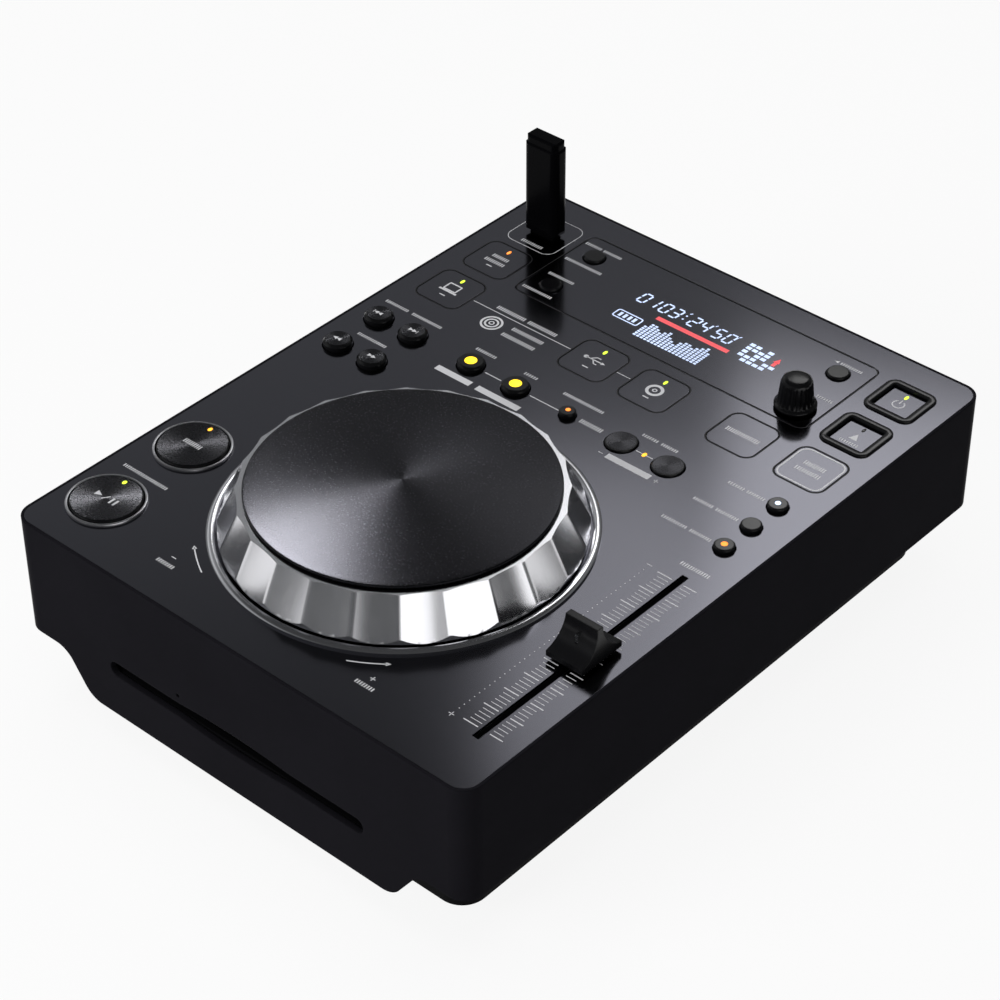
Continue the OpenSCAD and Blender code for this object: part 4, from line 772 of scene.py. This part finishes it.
# ---- jog wheel ----
# A zinc casting with twenty-four hollow flutes, polished and chromed. It
# turns on a steel shaft inside a bearing of bronze, over a chromed ring.
def closed_shell(name, loops, material, body, sharp=35, join=False):
    """A surface from closed loops of points, each joined to the next by quads. Loops that
    shrink to a point close the ends, or join=True links the last loop to the first."""
    count, around = loops.shape[:2]
    i = np.arange(count if join else count - 1)[:, None]
    j = np.arange(around)[None, :]
    k = (j + 1) % around
    up = (i + 1) % count
    quads = np.stack([i * around + j, i * around + k, up * around + k, up * around + j], -1)
    piece = add_mesh(name, loops.reshape(-1, 3) * MM, quads.reshape(-1, 4).tolist(), material,
                     body)
    shape = bmesh.new()
    shape.from_mesh(piece.data)
    bmesh.ops.remove_doubles(shape, verts=shape.verts, dist=1e-7)
    shape.to_mesh(piece.data)
    shape.free()
    smooth(piece.data, sharp)
    return piece


def turned_loops(profile, x, y, around):
    """Loops of a turned shape: each (radius, height) of the profile is carried round the axis."""
    r, z = np.asarray(profile, float).T
    a = np.linspace(0, 2 * np.pi, around, endpoint=False)
    return np.stack([x + r[:, None] * np.cos(a), y + r[:, None] * np.sin(a),
                     z[:, None] + 0 * a], -1)


flutes = 24
ridge_degrees = 12.0
flute_hollow = 66.0
edge_r, top_r = 66.0, 59.3
wheel_low, wheel_high = [end.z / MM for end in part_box("jog_wheel")]
lip_z = wheel_low + 2.8
cone = (edge_r - top_r) / (wheel_high - lip_z)
half_flute = math.pi / flutes


def fluted_radius(z, turn):
    """Radius of the fluted flank at a height and an angle: inside one flute the plan is part of
    an ellipse through two ridges, found by sliding along it until it meets the angle."""
    ridge = edge_r - (z - lip_z) * cone
    off = (turn - math.radians(ridge_degrees)) % (2 * half_flute) - half_flute
    lean = math.cos(math.atan(cone))

    def sag(s):
        """How far an arc of the flute's hollow has risen at this distance from its middle."""
        return (flute_hollow - np.sqrt(flute_hollow ** 2 - s ** 2)) / lean

    base = ridge * math.cos(half_flute) - sag(ridge * math.sin(half_flute))
    radius = ridge + 0 * off
    for _ in range(6):
        radius = (base + sag(radius * np.sin(off))) / np.cos(off)
    return radius


around = flutes * 18
turn = np.linspace(0, 2 * np.pi, around, endpoint=False)
scallop = np.minimum(lip_z - (edge_r - fluted_radius(lip_z, turn)) / cone, lip_z)
steps = np.linspace(0, 1, 15)[:, None]
flank_z = scallop + (wheel_high - scallop) * steps
flank_r = np.minimum(fluted_radius(flank_z, turn[None, :]), edge_r)
lip = [(edge_r - 0.4, wheel_low), (edge_r, wheel_low + 0.4)]
# inside: the guide's bore, the shaft's bore, the hub, the web and the hollow rim
guide_r, guide_deep, shaft_r = 6.35, 5, 3.05
hub_r, hub_low, web = 9.0, 84.0, 2.5
web_r, rim_r = 56.8, 63.0
inner = [(guide_r, wheel_high), (guide_r, wheel_high - guide_deep),
         (shaft_r, wheel_high - guide_deep), (shaft_r, hub_low), (hub_r, hub_low),
         (hub_r, wheel_high - web), (web_r, wheel_high - web), (rim_r, lip_z), (rim_r, wheel_low)]


def round_loop(radius, z):
    """A loop round the wheel's axis; radius and height are one value or one for each angle."""
    return np.stack([jog_x + radius * np.cos(turn), jog_y + radius * np.sin(turn), z + 0 * turn],
                    -1)


wheel_loops = np.concatenate([[round_loop(r, z) for r, z in lip], round_loop(flank_r, flank_z),
                              [round_loop(r, z) for r, z in inner]])
jog_chrome = brushed("jog_chrome", (0.80, 0.80, 0.83), 0.19, across=(400.0, 400.0, 60.0),
                     lines=0.06, spread=0.05, bump=0.01, edge=0.0)
wheel = closed_shell("jog_wheel_casting", wheel_loops, jog_chrome, "jog",
                     sharp=18, join=True)
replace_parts(wheel, "jog_wheel")

ring_in, ring_out = 66.7, 70.0
ring_z = panel_top / MM
ring_h, crown_r = 1.6, 2.2
# the ring's crown is an arc over its width
across_ring = np.linspace(-1, 1, 13) * (ring_out - ring_in) / 2
crown = np.column_stack([(ring_in + ring_out) / 2 - across_ring,
                         ring_z + ring_h - crown_r + np.sqrt(crown_r ** 2 - across_ring ** 2)])
ring_profile = np.vstack([[(ring_in, ring_z), (ring_out, ring_z)], crown])
jog_ring = closed_shell("jog_ring", turned_loops(ring_profile, jog_x, jog_y, 180), jog_chrome,
                        "root", join=True)
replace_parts(jog_ring, "panel_trims")
ring_metal = brushed("ring_metal", (0.60, 0.60, 0.62), 0.34, across=(400.0, 400.0, 60.0),
                     lines=0.1, spread=0.05, bump=0.01, edge=0.0)
button_ring = [(13.9, ring_z), (15.0, ring_z), (15.0, ring_z + 0.6), (14.85, ring_z + 0.95),
               (14.55, ring_z + 1.1), (14.25, ring_z + 1.1), (14.0, ring_z + 0.95),
               (13.9, ring_z + 0.7)]
for node in ("cue_button", "play_button"):
    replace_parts(closed_shell(node + "_ring", turned_loops(button_ring, *middle(node), 96),
                             ring_metal, "root", join=True), "panel_trims")

dress(brushed("bronze", (0.55, 0.38, 0.16), 0.3, across=(600.0, 600.0, 3000.0)), "jog_bearing")
dress(brushed("shaft_steel", (0.55, 0.56, 0.58), 0.25, across=(500.0, 500.0, 2500.0)),
      "jog_shaft", "selector_shaft", "fader_lever", "lead_screw")


def frame_loops(x, y, profile, steps=8):
    """Loops of a rounded rectangle: each (width, depth, corner, height) of the profile is one."""
    return np.stack([np.column_stack([frame_line(x, y, w, d, r, steps), np.full(4 * steps, z)])
                     for w, d, r, z in profile])


guard = [(15.6, 15.6, 0.5, ring_z), (22, 22, 4.5, ring_z), (22, 22, 4.5, ring_z + 0.35),
         (21.6, 21.6, 4.3, ring_z + 0.68), (21.1, 21.1, 4.1, ring_z + 0.8),
         (16.4, 16.4, 0.8, ring_z + 0.8), (15.8, 15.8, 0.6, ring_z + 0.6),
         (15.6, 15.6, 0.5, ring_z + 0.3)]
for node in ("power_key", "eject_key"):
    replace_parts(closed_shell(node + "_guard", frame_loops(*middle(node), guard), button_gloss,
                             "root", join=True), "panel_trims")


# ---- touch disc ----
# An aluminium plate, spun on a lathe, anodised black and lightly blasted. It
# is glued to a guide that slides in the wheel's hub.
def spun_group():
    """Blasted metal: a fine noise lifts and drops the colour, the roughness and the surface."""
    group, values = new_group("spun_face", [
        ("Color", "Color", (0.02, 0.02, 0.02, 1)), ("Sparkle", "Float", 0.6),
        ("Roughness", "Float", 0.4), ("Bump", "Float", 0.1)])
    place = add_node(group, "TexCoord").outputs["Object"]
    grit = add_node(group, "TexNoise",
                    {"Vector": place, "Scale": 1500.0, "Detail": 3.0}).outputs["Fac"]
    centred = add_math(group, "SUBTRACT", grit, 0.5)
    colour = tinted(group, centred, values["Sparkle"], values["Color"])
    rough = add_math(group, "MULTIPLY_ADD", centred, 0.1, values["Roughness"])
    return group_gives(group, colour, rough, bumped(group, grit, values["Bump"], 0.0001))


spun_face = spun_group()


def spun(name, colour, roughness, sparkle, bump, anisotropy):
    """A spun metal whose highlights are drawn out into two wedges, along the UV map's turns."""
    material = finish(name, spun_face, {"Color": (*colour, 1), "Roughness": roughness,
                                        "Sparkle": sparkle, "Bump": bump},
                      Metallic=1.0, Anisotropic=anisotropy, Anisotropic_Rotation=0.25)
    tree = material.node_tree
    tangent = add_node(tree, "Tangent", direction_type="UV_MAP", uv_map="turns")
    tree.links.new(tangent.outputs["Tangent"], tree.nodes["Principled BSDF"].inputs["Tangent"])
    return material


def read(items, field, kind, each=1):
    """One field of all of a mesh's items, with so many values for each, as an array."""
    values = np.empty(len(items) * each, kind)
    items.foreach_get(field, values)
    return values


def spun_uv(piece, x, y):
    """UV map whose first axis runs with the angle round the middle and whose second is the
    radius in units of 60 mm, unwrapped at the seam face by face."""
    mesh = piece.data
    layer = mesh.uv_layers.new(name="turns")
    corners = read(mesh.loops, "vertex_index", np.int32)
    points = read(mesh.vertices, "co", float, 3).reshape(-1, 3)
    flat = points[corners][:, :2] - np.array([x, y]) * MM
    angle = np.arctan2(flat[:, 1], flat[:, 0]) / (2 * np.pi)
    radius = np.linalg.norm(flat, axis=1)
    starts = read(mesh.polygons, "loop_start", np.int32)
    owner = np.repeat(np.arange(len(starts)), read(mesh.polygons, "loop_total", np.int32))
    angle = angle - np.round(angle - angle[starts][owner])
    # the middle has no angle, so it takes the mean of its face's other corners
    centre = radius < 1e-6
    if centre.any():
        total, count = np.zeros(len(starts)), np.zeros(len(starts))
        np.add.at(total, owner[~centre], angle[~centre])
        np.add.at(count, owner[~centre], 1)
        angle[centre] = (total / np.maximum(count, 1))[owner[centre]]
    layer.data.foreach_set("uv", np.column_stack([angle, radius / 0.06]).ravel())


disc_low = wheel_high + 0.5
disc_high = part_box("touch_disc")[1].z / MM
disc_r, disc_crown = 56.4, 1.8
pin_r, pin_long = 6, 4
disc_profile = [(0, disc_low - pin_long), (pin_r, disc_low - pin_long),
                (pin_r, disc_low), (disc_r - 0.2, disc_low),
                (disc_r, disc_low + 0.2), (disc_r, disc_high - 0.45), (disc_r - 0.1, disc_high - 0.2),
                (disc_r - 0.3, disc_high - 0.06), (disc_r - 0.6, disc_high)] + \
               [(r, disc_high + disc_crown * (1 - (r / disc_r) ** 2))
                for r in np.linspace(disc_r - 1.2, 0, 24)]
disc_black = spun("disc_black", (0.016, 0.016, 0.0185), 0.26, 0.7, 0.15, 0.64)
disc = closed_shell("touch_disc_plate", turned_loops(disc_profile, jog_x, jog_y, 192), disc_black,
                    "touch_disc", sharp=30)
spun_uv(disc, jog_x, jog_y)
under["disc_light"].objects.link(disc)
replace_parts(disc, "touch_disc")

# cue, play and the beat, track and search keys carry a thin spun plate, dished a little
play_metal = spun("play_metal", (0.05, 0.05, 0.055), 0.28, 0.06, 0.003, 0.8)
plate_lift, plate_dish = 0.03, 0.012
for key, plate_r in (("cue", 12.9), ("play", 12.9), ("beat_half", 5.5), ("beat_double", 5.5),
                     ("track_back", 4.7), ("track_next", 4.7), ("search_back", 4.7),
                     ("search_next", 4.7)):
    node = key + "_button"
    x, y = middle(node)
    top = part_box(node)[1].z / MM
    profile = [(0, top - 0.2), (plate_r, top - 0.2)] + \
              [(r, top + plate_lift + plate_dish * plate_r * (r / plate_r) ** 2)
               for r in np.linspace(plate_r, 0, 16)]
    plate = closed_shell(node + "_plate", turned_loops(profile, x, y, 96), play_metal, node,
                         sharp=25)
    spun_uv(plate, x, y)
    under["plate_light"].objects.link(plate)
play_x, play_y = middle("play_button")
cue_x, cue_y = middle("cue_button")
play_signs = [arrow(play_x - 4, play_y, 1.8),
              rule(play_x - 1.2, play_y - 1.5, play_x + 0.8, play_y + 1.5, 0.45)]
play_signs += [bar(x, play_y - 1.6, x + 0.9, play_y + 1.6) for x in (play_x + 2.4, play_x + 4.4)]
cue_signs = caption(cue_x - 4.2, cue_x + 4.2, cue_y, 2.3)
for node, marks in (("play_button", play_signs), ("cue_button", cue_signs)):
    print_on(node + "_sign", marks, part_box(node)[1].z + sign_lift, ink_grey, node)


# ---- tempo fader ----
# The cap is moulded in black plastic and pressed on a steel lever, which
# slides with its carriage in a bent sheet steel track under the deck.
dress(moulding("cap_black", (0.004, 0.004, 0.0046), 0.26, scale=900, bump=0.05, edge=0.0007,
               wear_and_highlight=0.0, specular=0.25), "fader_cap")


# ---- selector knob ----
# A gloss black knob with ground grooves and a domed top, pushed on to the
# steel shaft of the encoder that stands on the key board.
knob_black = moulding("knob_black", (0.003, 0.003, 0.0034), 0.16, scale=700, bump=0.03,
                      edge=0.0004, wear_and_highlight=0.0, specular=0.3)
knob_low, knob_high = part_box("selector_knob")
knob_x, knob_y = middle("selector_knob")
skirt_r, foot_z, dome_z = (knob_high.x - knob_low.x) / 2 / MM, knob_low.z / MM, knob_high.z / MM
grooves = 20
smooth_rows = [(0, dome_z - 3), (3.05, dome_z - 3), (3.05, foot_z), (skirt_r - 0.2, foot_z),
               (skirt_r, foot_z + 0.2), (skirt_r, foot_z + 0.8), (skirt_r - 0.3, foot_z + 1.1),
               (7.1, foot_z + 1.5)]
ground_rows = [(7.0, foot_z + 1.8), (6.75, foot_z + 4), (6.4, foot_z + 7.5), (6.1, dome_z - 2.4)]
top_rows = [(5.95, dome_z - 1.7), (5.6, dome_z - 0.9), (5.0, dome_z - 0.4), (4.0, dome_z - 0.12),
            (2.5, dome_z), (0, dome_z)]
knob_loops = turned_loops(smooth_rows + ground_rows + top_rows, 0, 0, grooves * 10)
# a groove narrows the ground rows where the cosine of twenty times the angle is near one
groove = np.clip(np.cos(grooves * np.linspace(0, 2 * np.pi, grooves * 10, endpoint=False)), 0, 1)
first, last = len(smooth_rows), len(smooth_rows) + len(ground_rows)
knob_loops[first:last, :, :2] *= (1 - 0.05 * groove ** 2)[None, :, None]
knob_loops += [knob_x, knob_y, 0]
knob = closed_shell("selector_knob_cap", knob_loops, knob_black, "selector_knob",
                    sharp=50)
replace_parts(knob, "selector_knob")


# ---- memory stick ----
# A stick in a two part gloss black shell with a tin plated plug, which is
# pushed into the port on the key board and pulled out by its end.
dress(moulding("stick_black", (0.0016, 0.0016, 0.002), 0.25, scale=700, bump=0.02, edge=0.0009,
               wear_and_highlight=0.0, specular=0.02), "memory_stick")


# ---- back ----
# Pressed rear plate with its sockets: phono jacks, control jack, square data
# socket and mains inlet, all in moulded plastic with plated contacts.
dress(moulding("rear_black", (0.02, 0.02, 0.021), 0.45, scale=1500, bump=0.2, edge=0.0004),
      "rear_panel")
dress(moulding("socket_mix", (0.30, 0.28, 0.25), 0.35, mottle=0.4, scale=800, Metallic=0.3),
      "rear_sockets")


# ---- inside ----
# Zinc plated sheet steel carries the drive, fibreglass boards the
# electronics, and the small gears are moulded in white acetal.
dress(brushed("zinc_sheet", (0.58, 0.59, 0.60), 0.34, across=(60.0, 1800.0, 1800.0)),
      "fader_track", "drive_chassis", "drive_cover", "clamp_arm", "traverse_base")
dress(brushed("screw_steel", (0.42, 0.42, 0.43), 0.3, across=(900.0, 900.0, 900.0)),
      "case_screws")
dress(moulding("board_green", (0.02, 0.11, 0.045), 0.35, mottle=0.8, scale=260, bump=0.2),
      "key_board", "main_board")
dress(moulding("supply_board", (0.25, 0.17, 0.06), 0.5, mottle=0.6, scale=300, bump=0.2),
      "power_supply")
dress(brushed("motor_can", (0.5, 0.5, 0.52), 0.28, across=(2200.0, 500.0, 500.0)),
      "loading_motor")
dress(moulding("sled_black", (0.02, 0.02, 0.02), 0.5, scale=1200, bump=0.2),
      "pickup_sled", "turntable")
dress(moulding("gear_white", (0.72, 0.71, 0.67), 0.4, mottle=0.15, scale=900),
      "loading_pinion", "clamper", "lift_cam")
dress(moulding("roller_rubber", (0.03, 0.03, 0.03), 0.75, mottle=0.4, scale=1200, bump=0.3),
      "feed_roller")
